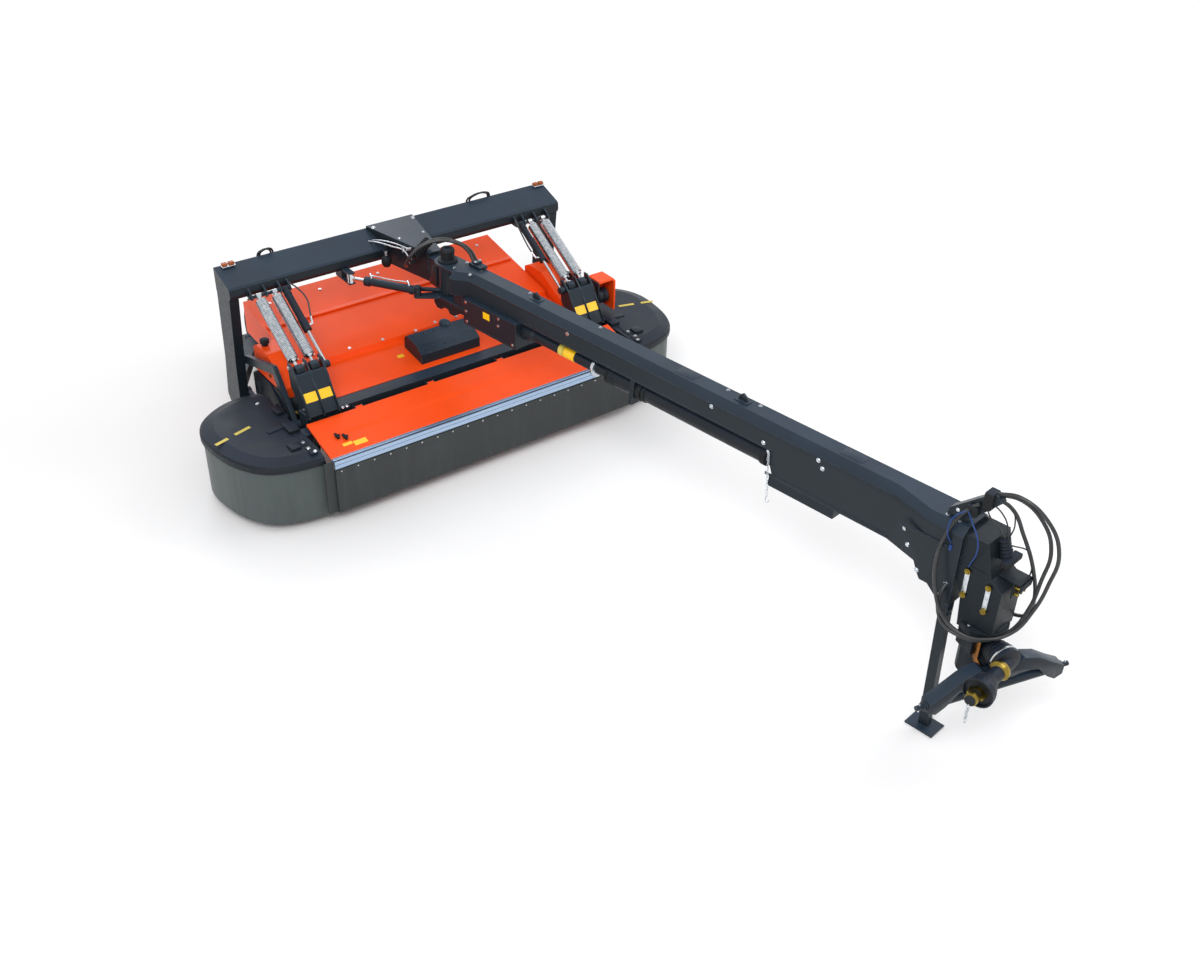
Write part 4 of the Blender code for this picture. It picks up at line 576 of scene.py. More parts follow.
NODE_FINISH = (
    ("portal_beam", "slate"), ("leg_", "slate"), ("lower_link_", "slate"), ("upper_link_", "slate"),
    ("head_frame", "slate"), ("cutter_bar", "slate"), ("drawbar_beam", "slate"), ("rear_gearbox", "slate"),
    ("hose_holder", "slate"), ("swivel_gearbox", "cast"), ("hitch_gearbox", "cast"), ("crossbar", "slate"),
    ("pivot_gearbox", "cast"), ("end_drum", "plastic"), ("end_guard", "orange"),
    ("stand", "slate"), ("swing_barrel", "slate"), ("rear_hood", "orange"), ("front_guard", "orange"),
    ("drive_guard_", "orange"), ("side_cover_", "plastic"), ("transmission_cover", "slate"),
    ("roll_drive_case", "plastic"), ("shaft_guard_", "plastic"), ("lift_barrel_", "plastic"),
    ("pto_shaft", "plastic"), ("roll_", "tyre"), ("front_curtain", "curtain"), ("tyre_", "tyre"),
    ("side_skirt_", "skirt"), ("trim_strip", "strip"), ("spring_pair_", "zinc"), ("lift_rod_", "chrome"),
    ("swing_rod", "chrome"), ("disc_", "blade"), ("rim_", "rim"))

SIDES = ((1, "left"), (-1, "right"))


class MOWER_OT_finishes(Operator):
    """Gives every solid of the frame its finish"""
    bl_idname = "mower.finishes"
    bl_label = "Finish the Solids"

    def execute(self, context):
        for name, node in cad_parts.items():
            found = [key for start, key in NODE_FINISH if name.startswith(start)]
            node.data.materials.clear()
            node.data.materials.append(finish(found[0]))
        return {"FINISHED"}


# Weight springs.
SPRING_X = (1.30, 1.445)
SPRING_TOP = Vector((0, -0.03, 1.475))
SPRING_LOW = Vector((0, -0.655, 1.10))
SPRING_ENDS = (0.055, 0.05)      # bare length at the top and at the bottom
# The plug's profile: parts of the coil's radius, and heights.
SPRING_PLUG = ((0, -0.012), (0.55, -0.012), (0.86, 0.0), (0.86, 0.05), (0, 0.05))
SPRING_EYE = ((0.014, -0.02), (0.026, -0.02), (0.026, 0.02), (0.014, 0.02), (0.014, -0.02))
COIL_SIDES = 6
COIL_STEPS = 20


class MOWER_OT_springs(Operator):
    """Winds the four weight springs with their end plugs and hooks"""
    bl_idname = "mower.springs"
    bl_label = "Add Weight Springs"

    def execute(self, context):
        wire, radius = sizes().wire, sizes().coil
        way = (SPRING_LOW - SPRING_TOP).normalized()
        long = (SPRING_LOW - SPRING_TOP).length
        wound = long - sum(SPRING_ENDS)
        pitch = wire * 2.12
        turns = int(wound / pitch)
        for side, word in SIDES:
            shapes = []
            for x in SPRING_X:
                across = Vector((side * x, 0, 0))
                start = SPRING_TOP + across + way * SPRING_ENDS[0]
                end = SPRING_LOW + across - way * SPRING_ENDS[1]
                coil = bmesh.new()
                ring = bmesh.ops.create_circle(coil, segments=COIL_SIDES, radius=wire,
                                               matrix=Matrix.Translation((radius, 0, 0))
                                               @ Matrix.Rotation(math.pi / 2, 4, "X"))["verts"]
                bmesh.ops.spin(coil, geom=ring + list(coil.edges), cent=(0, 0, 0), axis=UP,
                               dvec=(0, 0, pitch / COIL_STEPS), angle=turns * math.tau,
                               steps=turns * COIL_STEPS)
                bmesh.ops.holes_fill(coil, edges=[e for e in coil.edges if e.is_boundary])
                bmesh.ops.recalc_face_normals(coil, faces=coil.faces)
                coil.transform(aim(start, end))
                shapes.append(coil)
                for near, far, at in ((start, 1, SPRING_TOP + across), (end, -1, SPRING_LOW + across)):
                    plug = [(radius * part, high) for part, high in SPRING_PLUG]
                    shapes.append(lathe(plug, near, near + way * far))
                    shapes.append(rod(at, near + way * far * 0.02, 0.014, 12))
                shapes.append(lathe(SPRING_EYE, SPRING_TOP + across,
                                    SPRING_TOP + across + Vector((1, 0, 0)), 20))
            made = piece("weight_springs_" + word, shapes, "zinc", "springs")
            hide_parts("spring_pair_" + word)
            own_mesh(made)
        return {"FINISHED"}


# Tyre tread and wheel details.
WHEEL = Vector((0.85, 1.20, 0.39))
TYRE_HALF = 0.15
TREAD_BLOCKS = 30
TREAD_TURN = math.radians(18)
HUB_CAP = ((0.031, 0), (0.058, 0), (0.055, 0.02), (0.04, 0.032), (0, 0.036))
WHEEL_NUTS = 5
NUT_RING = 0.1


class MOWER_OT_wheels(Operator):
    """Cuts the tread into each tyre and adds the hub caps and wheel nuts"""
    bl_idname = "mower.wheels"
    bl_label = "Add Tread and Hubs"

    def execute(self, context):
        for side, word in SIDES:
            hub = Vector((side * WHEEL.x, WHEEL.y, WHEEL.z))
            lugs = []
            for index in range(TREAD_BLOCKS):
                for way in (-1, 1):
                    lug = block((way * 0.012, -0.022, WHEEL.z - 0.008),
                                (way * (TYRE_HALF - 0.022), 0.022, WHEEL.z - 0.001))
                    bmesh.ops.rotate(lug, verts=lug.verts, cent=(way * 0.07, 0, WHEEL.z),
                                     matrix=Matrix.Rotation(way * TREAD_TURN, 3, "Z"))
                    turn = (index + 0.25 * way) * math.tau / TREAD_BLOCKS
                    lug.transform(Matrix.Translation(hub) @ Matrix.Rotation(turn, 4, "X"))
                    lugs.append(lug)
            piece("tread_" + word, lugs, "tyre", "wheel_" + word)
            outer = hub + Vector((-side * 0.035, 0, 0))
            shapes = [lathe(HUB_CAP, outer, outer - Vector((side, 0, 0)))]
            for index in range(WHEEL_NUTS):
                turn = index * math.tau / WHEEL_NUTS
                spot = hub + Vector((-side * 0.004, math.cos(turn) * NUT_RING, math.sin(turn) * NUT_RING))
                shapes.append(bolt(spot, (-side, 0, 0), 0.012))
            piece("hub_cap_" + word, shapes, "zinc", "wheel_" + word)
        return {"FINISHED"}


# Pivot: what sits on the beam's nose and round the swing axis, in the machine's frame.
BOOT_RINGS = 9
RING_PITCH = 0.024
ARCH_HOSES = (
    ((-0.17, -0.30, 1.545), (-0.25, -0.42, 1.59), (-0.26, -0.51, 1.69), (-0.20, -0.57, 1.79),
     (-0.06, -0.63, 1.845), (0.08, -0.72, 1.83), (0.12, -0.86, 1.79), (0.115, -0.95, 1.735),
     (0.125, -1.02, 1.715)),
    ((-0.145, -0.30, 1.575), (-0.205, -0.41, 1.62), (-0.215, -0.49, 1.71), (-0.15, -0.55, 1.80),
     (-0.02, -0.60, 1.845), (0.11, -0.69, 1.82), (0.155, -0.84, 1.785), (0.15, -0.94, 1.735),
     (0.16, -1.02, 1.715)))
PIPES = (
    ((-0.29, 0.17, 1.60), (-0.26, 0.06, 1.625), (-0.20, -0.10, 1.63), (-0.155, -0.24, 1.63),
     (-0.15, -0.30, 1.60)),
    ((-0.25, 0.17, 1.60), (-0.22, 0.05, 1.635), (-0.165, -0.11, 1.65), (-0.125, -0.26, 1.65)))
ACCUMULATOR = Vector((-0.245, -0.07, 1.49))
ACCUMULATOR_BODY = ((0, -0.055), (0.03, -0.045), (0.045, -0.015), (0.045, 0.015), (0.034, 0.04),
                    (0.016, 0.05), (0.016, 0.07), (0.011, 0.075), (0.011, 0.15), (0, 0.15))
GUSSET = ((-0.50, 1.43), (-0.63, 1.43), (-0.64, 1.65), (-0.60, 1.65))
CAP = ((0.030, -0.065), (0.058, -0.065), (0.058, 0), (0.062, 0), (0.062, 0.02), (0.052, 0.03),
       (0.052, 0.036), (0.024, 0.036), (0.024, 0.01), (0, 0.01))
CAP_FOOT = ((0.0, 0), (0.085, 0), (0.085, 0.012), (0.06, 0.02), (0, 0.02))


class MOWER_OT_pivot(Operator):
    """Dresses the swing pivot: cap, boot, hoses, pipes, accumulator and cylinder fittings"""
    bl_idname = "mower.pivot"
    bl_label = "Dress the Pivot"

    def execute(self, context):
        radius = sizes().hose
        arches = piece("pivot_hoses", [hose(points, radius) for points in ARCH_HOSES], "hose", None)
        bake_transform(arches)
        piece("nose_pipes", [hose(points, 0.008) for points in PIPES], "zinc", "frame")
        boot = [(0.0, 0.0)]
        for ring in range(BOOT_RINGS):
            boot += [(0.034, ring * RING_PITCH + 0.004), (0.045, ring * RING_PITCH + 0.012)]
        boot += [(0.034, BOOT_RINGS * RING_PITCH), (0, BOOT_RINGS * RING_PITCH)]
        piece("nose_boot", lathe(boot, (-0.19, -0.46, 1.665), (-0.04, -0.42, 1.735)), "dark", "frame")
        up = Vector(UP)
        piece("accumulator", lathe(ACCUMULATOR_BODY, ACCUMULATOR, ACCUMULATOR + up), "dark", "frame")
        fittings = [rod(ACCUMULATOR + up * 0.06, ACCUMULATOR + up * 0.10, 0.02, 6),
                    rod((-0.15, -0.22, 1.615), (-0.15, -0.22, 1.655), 0.018, 6),
                    rod((-0.13, -0.24, 1.64), (-0.11, -0.30, 1.66), 0.015, 6)]
        for x, y, z in (points[0] for points in ARCH_HOSES):
            fittings += [rod((x + 0.09, y + 0.01, z - 0.01), (x, y, z - 0.01), 0.017, 6),
                         rod((x, y + 0.004, z - 0.03), (x - 0.002, y - 0.02, z + 0.015), 0.019, 12)]
        for x in (-0.20, 0.20):
            fittings += [bolt((x, 0.22, 1.686), UP), bolt((x * 0.6, -0.1, 1.686), UP, 0.01)]
        piece("nose_fittings", fittings, "zinc", "frame")
        piece("hub_gussets", [slab(GUSSET, 0, low, low + 0.009, 0.002) for low in (-0.072, 0.063)], "slate",
              "frame")
        cap = [lathe(CAP, along(0, 0, 1.765), along(0, 0, 2)),
               lathe(CAP_FOOT, along(0, 0, 1.685), along(0, 0, 2))]
        piece("pivot_cap", cap, "dark", "drawbar")
        clamp = strips(((0.22, 0.045, 1.70, 0.37, 0.125, 1.728, 0.004),
                        (0.27, 0.05, 1.725, 0.31, 0.12, 1.752, 0.004)))
        clamp.append(placed(rod((-0.20, -0.563, 1.41), (0.125, -0.831, 1.41), 0.019, 20, edge=0.004),
                            DRAWBAR.inverted() @ MACHINE))
        piece("pivot_clamp_and_bar", clamp, "slate", "drawbar")
        bolts = [bolt(along(s, w, 1.70), UP, 0.011)
                 for s, w in ((0.17, -0.07), (0.17, 0.07), (0.36, -0.06), (0.36, 0.06))]
        bolts += [bolt(along(0.29, w, 1.752), UP, 0.009) for w in (0.06, 0.11)]
        piece("pivot_bolts", bolts, "zinc", "drawbar")
        piece("tag_beam", plate((-0.70, 0.095, 1.4465), (-0.66, 0.125, 1.4495)), "label", "frame")
        tag = rod((-0.045, -0.6915, 1.41), (-0.022, -0.7105, 1.41), 0.0198, 20)
        piece("tag_bar", tag, "label", "drawbar", MACHINE)
        return {"FINISHED"}


# Swing cylinder and lift cylinders, in the machine's frame.
LIFT_TOP, LIFT_LOW, LIFT_X = Vector((0, -0.03, 1.475)), Vector((0, -0.70, 1.06)), 1.20
LIFT_LINE = ((0.043, 0.05, 0.04), (0.06, 0.10, 0.10), (0.07, 0.15, 0.16), (0.05, 0.26, 0.215),
             (0.02, 0.37, 0.24))
SWING_ARM, SWING_AT, SWING_Z = 0.27, math.radians(155), 1.4193
SWING_BASE = Vector((SWING_ARM * math.cos(SWING_AT), PIVOT_Y + SWING_ARM * math.sin(SWING_AT), SWING_Z))
SWING_EYE = Vector((-0.60, -0.06, SWING_Z))
SWING_LINE = ((0.44, 0.02, 0.062), (0.38, 0.045, 0.05), (0.2, 0.045, 0.045), (0.08, 0.02, 0.062))


class MOWER_OT_cylinders(Operator):
    """Adds glands, ports and hoses to the lift cylinders and the swing cylinder"""
    bl_idname = "mower.cylinders"
    bl_label = "Dress the Cylinders"

    def execute(self, context):
        way = (LIFT_LOW - LIFT_TOP).normalized()
        for side, word in SIDES:
            top = LIFT_TOP + Vector((side * LIFT_X, 0, 0))
            trim = [rod(top + way * 0.33, top + way * 0.445, 0.037, 24, edge=0.003),
                    rod(top + way * 0.05, top + way * 0.07, 0.0345, 24)]
            piece("lift_gland_" + word, trim, "plastic", "lift_barrels")
            port = top + way * 0.41 + Vector((-side * 0.03, 0, 0.012))
            elbow = [rod(port, port + Vector((-side * 0.035, 0, 0.012)), 0.010, 12),
                     rod(port + Vector((-side * 0.03, 0.004, 0.0)),
                         port + Vector((-side * 0.045, 0.055, 0.045)), 0.009, 12)]
            piece("lift_port_" + word, elbow, "zinc", "lift_barrels")
            line = [port + Vector((-side * x, y, z)) for x, y, z in LIFT_LINE]
            feed = piece("lift_hose_" + word, hose(line, 0.007), "hose", None)
            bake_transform(feed)
            low = LIFT_LOW + Vector((side * LIFT_X, 0, 0))
            half = Vector((side * 0.026, 0, 0))
            piece("lift_bush_" + word, rod(low - half, low + half, 0.0325, 24, edge=0.004), "slate",
                  "lift_rods")
        base, eye = MACHINE @ SWING_BASE, MACHINE @ SWING_EYE
        reach = (eye - base).normalized()
        trim = [rod(base + reach * 0.455, base + reach * 0.504, 0.043, 24, edge=0.004),
                rod(base + reach * 0.04, base + reach * 0.07, 0.041, 24, edge=0.003)]
        piece("swing_glands", trim, "slate", "swing_barrel", WORLD)
        ports = []
        for at in (0.08, 0.44):
            spot = base + reach * at + Vector((0, 0, 0.03))
            ports += [rod(spot, spot + Vector((0, 0, 0.03)), 0.012, 6),
                      rod(spot + Vector((0, 0, 0.022)), spot + Vector((0.0, 0.02, 0.045)), 0.009, 12)]
        ports.append(hose([base + reach * at + Vector((0, y, z)) for at, y, z in SWING_LINE], 0.006))
        piece("swing_ports", ports, "zinc", "swing_barrel", WORLD)
        return {"FINISHED"}


# Head: towers, deck, hood and covers, in the machine's frame.
TOWER_BAYS = ((1.247, 1.3645), (1.3805, 1.498))
HOOK_SIDE = ((-0.625, 1.035), (-0.70, 1.02), (-0.73, 1.065), (-0.715, 1.105), (-0.67, 1.115), (-0.64, 1.09))
HOOD_BOLTS = ((-0.768, -0.258), (-0.449, -0.277), (-0.121, -0.29), (0.10, -0.26), (0.315, -0.272),
              (0.62, -0.27), (0.95, -0.26))
# Plates as a low corner, a high corner and an edge; x runs outward from the middle.
COVER_RISES = (((1.605, -0.95, 0.668), (1.70, -0.80, 0.70), 0.006),
               ((1.605, -0.63, 0.668), (1.66, -0.53, 0.70), 0.006),
               ((1.705, -1.19, 0.664), (1.80, -1.09, 0.692), 0.012))
COVER_PLATES = (((1.625, -1.315, 0.666), (1.69, -1.205, 0.676), 0.002),
                ((1.635, -1.165, 0.666), (1.695, -1.075, 0.676), 0.002))
HEAD_STOPS = (((1.44, -0.90, 0.745), (1.53, -0.80, 0.775), 0.006),
              ((1.50, -1.02, 0.60), (1.60, -0.90, 0.66), 0.008))
COVER_BOLTS = ((1.645, -1.295, 0.676), (1.67, -1.225, 0.676), (1.665, -1.12, 0.676), (1.71, -0.36, 0.672))
COVER_LABELS = ((2.195, -0.735, 0.125), (1.99, -0.675, 0.155))                  # x, y and length
DECK_LABELS = ((1.35, -1.262, 0.085, 0.07), (1.243, -1.301, 0.115, 0.055))      # x, y, width and depth
DECK_SLOPE, PANEL_SLOPE = 0.2, 0.13
STRIP_HALF = 1.55
FLAP = ((1.53, 0.11), (1.635, 0.11), (1.635, 0.60), (1.556, 0.60), (1.556, 0.515), (1.53, 0.515))
BREATHER = ((0, 0), (0.028, 0), (0.028, 0.02), (0.04, 0.024), (0.04, 0.055), (0.03, 0.062), (0, 0.062))
DRIVE_LID = ((0.02, 0), (0.052, 0), (0.052, 0.006), (0.044, 0.008), (0.030, 0.008), (0.026, 0.014),
             (0, 0.014))
DRIVE_LIDS = ((-0.418, 0.336), (-0.289, 0.504), (-0.112, 0.48), (0.051, 0.586))
DRIVE_HOSES = (
    ((-1.50, -0.30, 0.74), (-1.515, -0.40, 0.76), (-1.515, -0.50, 0.70), (-1.515, -0.60, 0.66),
     (-1.51, -0.66, 0.67)),
    ((-1.50, -0.26, 0.72), (-1.515, -0.38, 0.72), (-1.518, -0.50, 0.66), (-1.515, -0.58, 0.64)))


def deck_z(y):
    return 0.61 + (y + 1.38) * DECK_SLOPE + (0.018 if y > -1.137 else 0.0)


def sloped_label(x, y, z, wide, deep, slope):
    """A blank label that lies on a sloping sheet."""
    label = plate((x - wide / 2, -deep / 2, 0), (x + wide / 2, deep / 2, 0.0015), 0.0)
    return placed(label, Matrix.Translation((0, y, z)) @ Matrix.Rotation(math.atan(slope), 4, "X"))


def across_lid(y, z, wide, high):
    """A bar from end to end of the front lid."""
    return beam((-STRIP_HALF, y, z), (STRIP_HALF, y, z), wide, high)


class MOWER_OT_head(Operator):
    """Adds plates, labels, latches, ribs and bolts to the cutting head"""
    bl_idname = "mower.head"
    bl_label = "Dress the Head"

    def execute(self, context):
        for side, word in SIDES:
            self.tower(side, word)
            self.cover(side, word)
            self.deck_end(side, word)
        self.hood()
        self.strip()
        self.right_drive()
        return {"FINISHED"}

    @staticmethod
    def tower(side, word):
        """Sheets with blank labels between proud ribs, zinc pins, and a hook over each spring's foot."""
        slope = Vector((0, 0.19, 0.26)).normalized()
        lean = Matrix(((1, 0, 0, 0), (0, slope.y, -slope.z, -0.918), (0, slope.z, slope.y, 0.80),
                       (0, 0, 0, 1)))
        sheets, labels, hooks, bolts = [], [], [], []
        for a, b in TOWER_BAYS:
            low, high = sorted((side * a, side * b))
            sheets.append(placed(plate((low, -0.05, 0.0), (high, 0.26, 0.008)), lean))
            labels.append(placed(plate((low + 0.004, 0.07, 0.0075), (high - 0.004, 0.155, 0.0092), 0.0),
                                 lean))
            middle = (low + high) / 2
            hooks.append(slab(HOOK_SIDE, 0, middle - 0.038, middle + 0.038, 0.006))
        for x in (1.2395, 1.3725, 1.5055):
            sheets.append(placed(plate((side * x - 0.0045, -0.05, -0.01),
                                       (side * x + 0.0045, 0.285, 0.022)), lean))
        for x in (1.244, 1.3795, 1.515):
            bolts += [bolt((side * x, -0.655, 1.10), (side, 0, 0), 0.012),
                      bolt((side * x, -0.86, 0.80), (side, 0, 0), 0.010)]
        bolts += [bolt((side * x, -0.93, 0.748), UP, 0.011) for x in (1.20, 1.16)]
        piece("tower_sheets_" + word, sheets + hooks, "slate", "head")
        piece("tower_labels_" + word, labels, "label", "head")
        piece("tower_bolts_" + word, bolts, "zinc", "head")

    @staticmethod
    def cover(side, word):
        """Folds, raised pads, edge plates with bolts, and blank reflector strips on the side cover."""
        folds = [beam((side * 1.64, -1.30, 0.672), (side * 1.72, -0.22, 0.672), 0.012, 0.006),
                 beam((side * 1.61, -0.80, 0.673), (side * 1.84, -0.82, 0.673), 0.05, 0.012, 0.004)]
        piece("cover_folds_" + word, folds + plates(COVER_RISES, side), "plastic", "head")
        piece("cover_plates_" + word, plates(COVER_PLATES, side), "dark", "head")
        turn = Matrix.Rotation(-side * math.radians(16), 4, "Z")
        labels = [placed(plate((-long / 2, -0.016, 0), (long / 2, 0.016, 0.0025), 0.0),
                         Matrix.Translation((side * x, y, 0.6695)) @ turn) for x, y, long in COVER_LABELS]
        piece("cover_labels_" + word, labels, "pale_label", "head")
        piece("cover_bolts_" + word, [bolt((side * x, y, z), UP, 0.012) for x, y, z in COVER_BOLTS], "zinc",
              "head")

    @staticmethod
    def deck_end(side, word):
        """Latches and blank labels at the lid's end, and the stops on the head behind it."""
        latches = []
        for x, y in ((side * 1.39, -1.165), (side * 1.335, -1.20)):
            z = deck_z(y)
            latches.append(plate((x - 0.012, y - 0.045, z), (x + 0.012, y + 0.03, z + 0.022), 0.005))
            latches.append(rod((x - 0.02, y - 0.02, z + 0.022), (x + 0.02, y - 0.02, z + 0.022), 0.010, 12))
        piece("deck_latches_" + word, latches, "dark", "front_lid")
        piece("head_stops_" + word, plates(HEAD_STOPS, side), "slate", "head")
        labels = [sloped_label(side * x, y, deck_z(y) + 0.0005, wide, deep, DECK_SLOPE)
                  for x, y, wide, deep in DECK_LABELS]
        piece("deck_labels_" + word, labels, "label", "front_lid")

    @staticmethod
    def hood():
        """Bolts along the hood's step, blank labels on its panel, the cover's ribs and the hood's fold."""
        bolts = [bolt((x, y, 0.862 + (y + 0.288) * 0.19), (0, -0.1, 1), 0.011) for x, y in HOOD_BOLTS]
        bolts += [bolt((x, 0.60, 1.038), (0, -0.19, 1), 0.011) for x in (-1.1, -0.6, 0, 0.6, 1.1)]
        piece("hood_bolts", bolts, "zinc", "head")
        labels = [sloped_label(x, y, 0.7506 + (y + 0.76) * PANEL_SLOPE, 0.06, 0.04, PANEL_SLOPE)
                  for x, y in ((-0.40, -0.50), (0.559, -0.583))]
        piece("hood_labels", labels, "label", "head")
        ribs = [beam((x, -0.67, 0.874), (x, -0.46, 0.929), 0.012, 0.014, 0.003)
                for x in (-0.24, -0.14, -0.04, 0.06)]
        ribs.append(lathe([(0, 0), (0.05, 0), (0.05, 0.02), (0.04, 0.028), (0, 0.03)], (0.10, -0.43, 0.925),
                          (0.10, -0.5, 1.2)))
        piece("cover_ribs", ribs, "slate", "head")
        piece("hood_fold", beam((-1.28, 0.29, 0.982), (1.28, 0.29, 0.982), 0.06, 0.012, 0.004), "orange",
              "head")

    @staticmethod
    def strip():
        """Ribs and lines along the anodised edging, the curtain's clamp bar and hem, and the flaps."""
        ribs = [across_lid(-1.397 - d, 0.6085 - d * 0.15, 0.006, 0.005) for d in (0.0, 0.015)]
        piece("strip_ribs", ribs, "strip", "front_lid")
        lines = [across_lid(-1.397 - d, 0.609 - d * 0.15, 0.0035, 0.004) for d in (-0.008, 0.0225)]
        piece("strip_lines", [*lines, across_lid(-1.4325, 0.572, 0.005, 0.004)], "slate", "front_lid")
        flaps = [slab([(way * x, z) for x, z in FLAP], 1, -1.413, -1.402) for way in (-1, 1)]
        piece("corner_flaps", flaps, "curtain", "head")
        hem = [rod((-STRIP_HALF, -1.425, 0.115), (STRIP_HALF, -1.425, 0.115), 0.013, 12),
               plate((-STRIP_HALF, -1.4385, 0.49), (STRIP_HALF, -1.4322, 0.524))]
        piece("curtain_hem", hem, "curtain", "front_lid")
        rivets = [rod((x, -1.4375, 0.507), (x, -1.4415, 0.507), 0.007, 10)
                  for x in (-1.5 + 0.15 * i for i in range(21))]
        piece("curtain_rivets", rivets, "zinc", "front_lid")

    @staticmethod
    def right_drive():
        """The breather, lids and hoses about the right-hand drive."""
        piece("breather", lathe(BREATHER, (-1.44, -0.02, 1.0), (-1.44, -0.02, 1.2)), "dark", "head")
        piece("drive_lids", [lathe(DRIVE_LID, (-1.5165, y, z), (-2, y, z)) for y, z in DRIVE_LIDS],
              "plastic", "head")
        piece("drive_hoses", [hose(points, 0.007) for points in DRIVE_HOSES], "hose", "head")
        ends = [rod((-1.50, -0.655, 0.67), (-1.50, -0.70, 0.67), 0.012, 6)]
        ends += [bolt((-1.50, y, 0.80), (-1, 0, 0)) for y in (-0.20, 0.02)]
        piece("drive_fittings", ends, "gold", "head")


# Beam: end lamps and the feed hoses over its rear edge.
BEAM_LOOPS = ((-1.26, -1.14), (-1.24, -1.12), (0.84, 1.07), (0.87, 1.09))


class MOWER_OT_beam(Operator):
    """Adds marker lamps and hose loops to the portal"""
    bl_idname = "mower.beam"
    bl_label = "Dress the Beam"

    def execute(self, context):
        zinc, amber = [], []
        for x in (-1.55, 1.61):
            zinc.append(plate((x - 0.06, 0.25, 1.655), (x + 0.06, 0.309, 1.666)))
            for lamp in (x - 0.03, x + 0.03):
                amber.append(plate((lamp - 0.024, 0.262, 1.665), (lamp + 0.024, 0.302, 1.688), 0.005))
        zinc += [bolt((x, 0.3105, z), (0, 1, 0)) for x in (1.6, -1.6) for z in (1.50, 1.61)]
        piece("beam_plates", zinc, "zinc", "frame")
        piece("marker_lamps", amber, "amber", "frame")
        loops = [hose([(a, 0.315, 1.60), (a, 0.33, 1.66), (a + 0.03, 0.31, 1.70), (b - 0.03, 0.31, 1.70),
                       (b, 0.33, 1.66), (b, 0.315, 1.60)], 0.009) for a, b in BEAM_LOOPS]
        piece("beam_hoses", loops, "hose", "frame")
        return {"FINISHED"}


# Drawbar: slim skin, lifting eyes, bolts, chain, guard rings and labels, in the drawbar's frame.
WALL = 0.158                                 # half the beam's width
SHAFT_Z = 1.40
SLIM = 0.08                                  # how far the left wall stands in along the slim part
SLIM_PLACES = (0.24, 0.36, 4.60, 4.90)       # where it leaves the hub, is slim, and is wide again
# Bolts as a place along the drawbar and a height. The front ones have a place along it and one across.
SIDE_BOLTS = ((1.54, 1.62), (3.03, 1.62), (3.52, 1.54), (3.99, 1.62), (4.03, 1.57), (4.74, 1.47),
              (4.79, 1.37), (4.90, 1.24), (5.08, 1.14))
BOX_BOLTS = ((0.372, 1.475), (0.373, 1.393), (0.781, 1.475), (0.777, 1.409), (0.95, 1.30), (0.38, 1.30))
FRONT_BOLTS = ((5.0, -0.08), (5.07, -0.045), (5.09, -0.085), (5.07, 0.045))
EYE = ((0.045, 1.70), (0.03, 1.745), (0, 1.765), (-0.03, 1.745), (-0.045, 1.70))
PADS = ((2.6, -0.005, 1.6995, 2.78, 0.085, 1.703, 0.001), (4.1, -0.005, 1.6995, 4.28, 0.085, 1.703, 0.001))
# Rings as place, length and radius.
RINGS = ((2.14, 0.02, 0.062), (2.27, 0.05, 0.082), (2.34, 0.02, 0.078), (3.49, 0.05, 0.08))
BELLOWS = ((0.05, 0), (0.078, 0.006), (0.064, 0.02), (0.078, 0.034), (0.064, 0.048), (0.078, 0.062),
           (0.064, 0.076), (0.078, 0.09), (0.05, 0.1))
CHAIN_HOOK = ((3.606, 1.13), (3.60, 1.10), (3.615, 1.08), (3.63, 1.10))


def slim_shift(s):
    """How far the beam's left wall stands in at a place along the drawbar."""
    first, full, last, end = SLIM_PLACES
    return SLIM * max(0.0, min(1.0, (s - first) / (full - first), (end - s) / (end - last)))


def shaft_rod(s, long, radius, edge=0.0):
    """A sleeve round the drive shaft."""
    return rod(along(s, 0, SHAFT_Z), along(s + long, 0, SHAFT_Z), radius, 28, edge=edge)


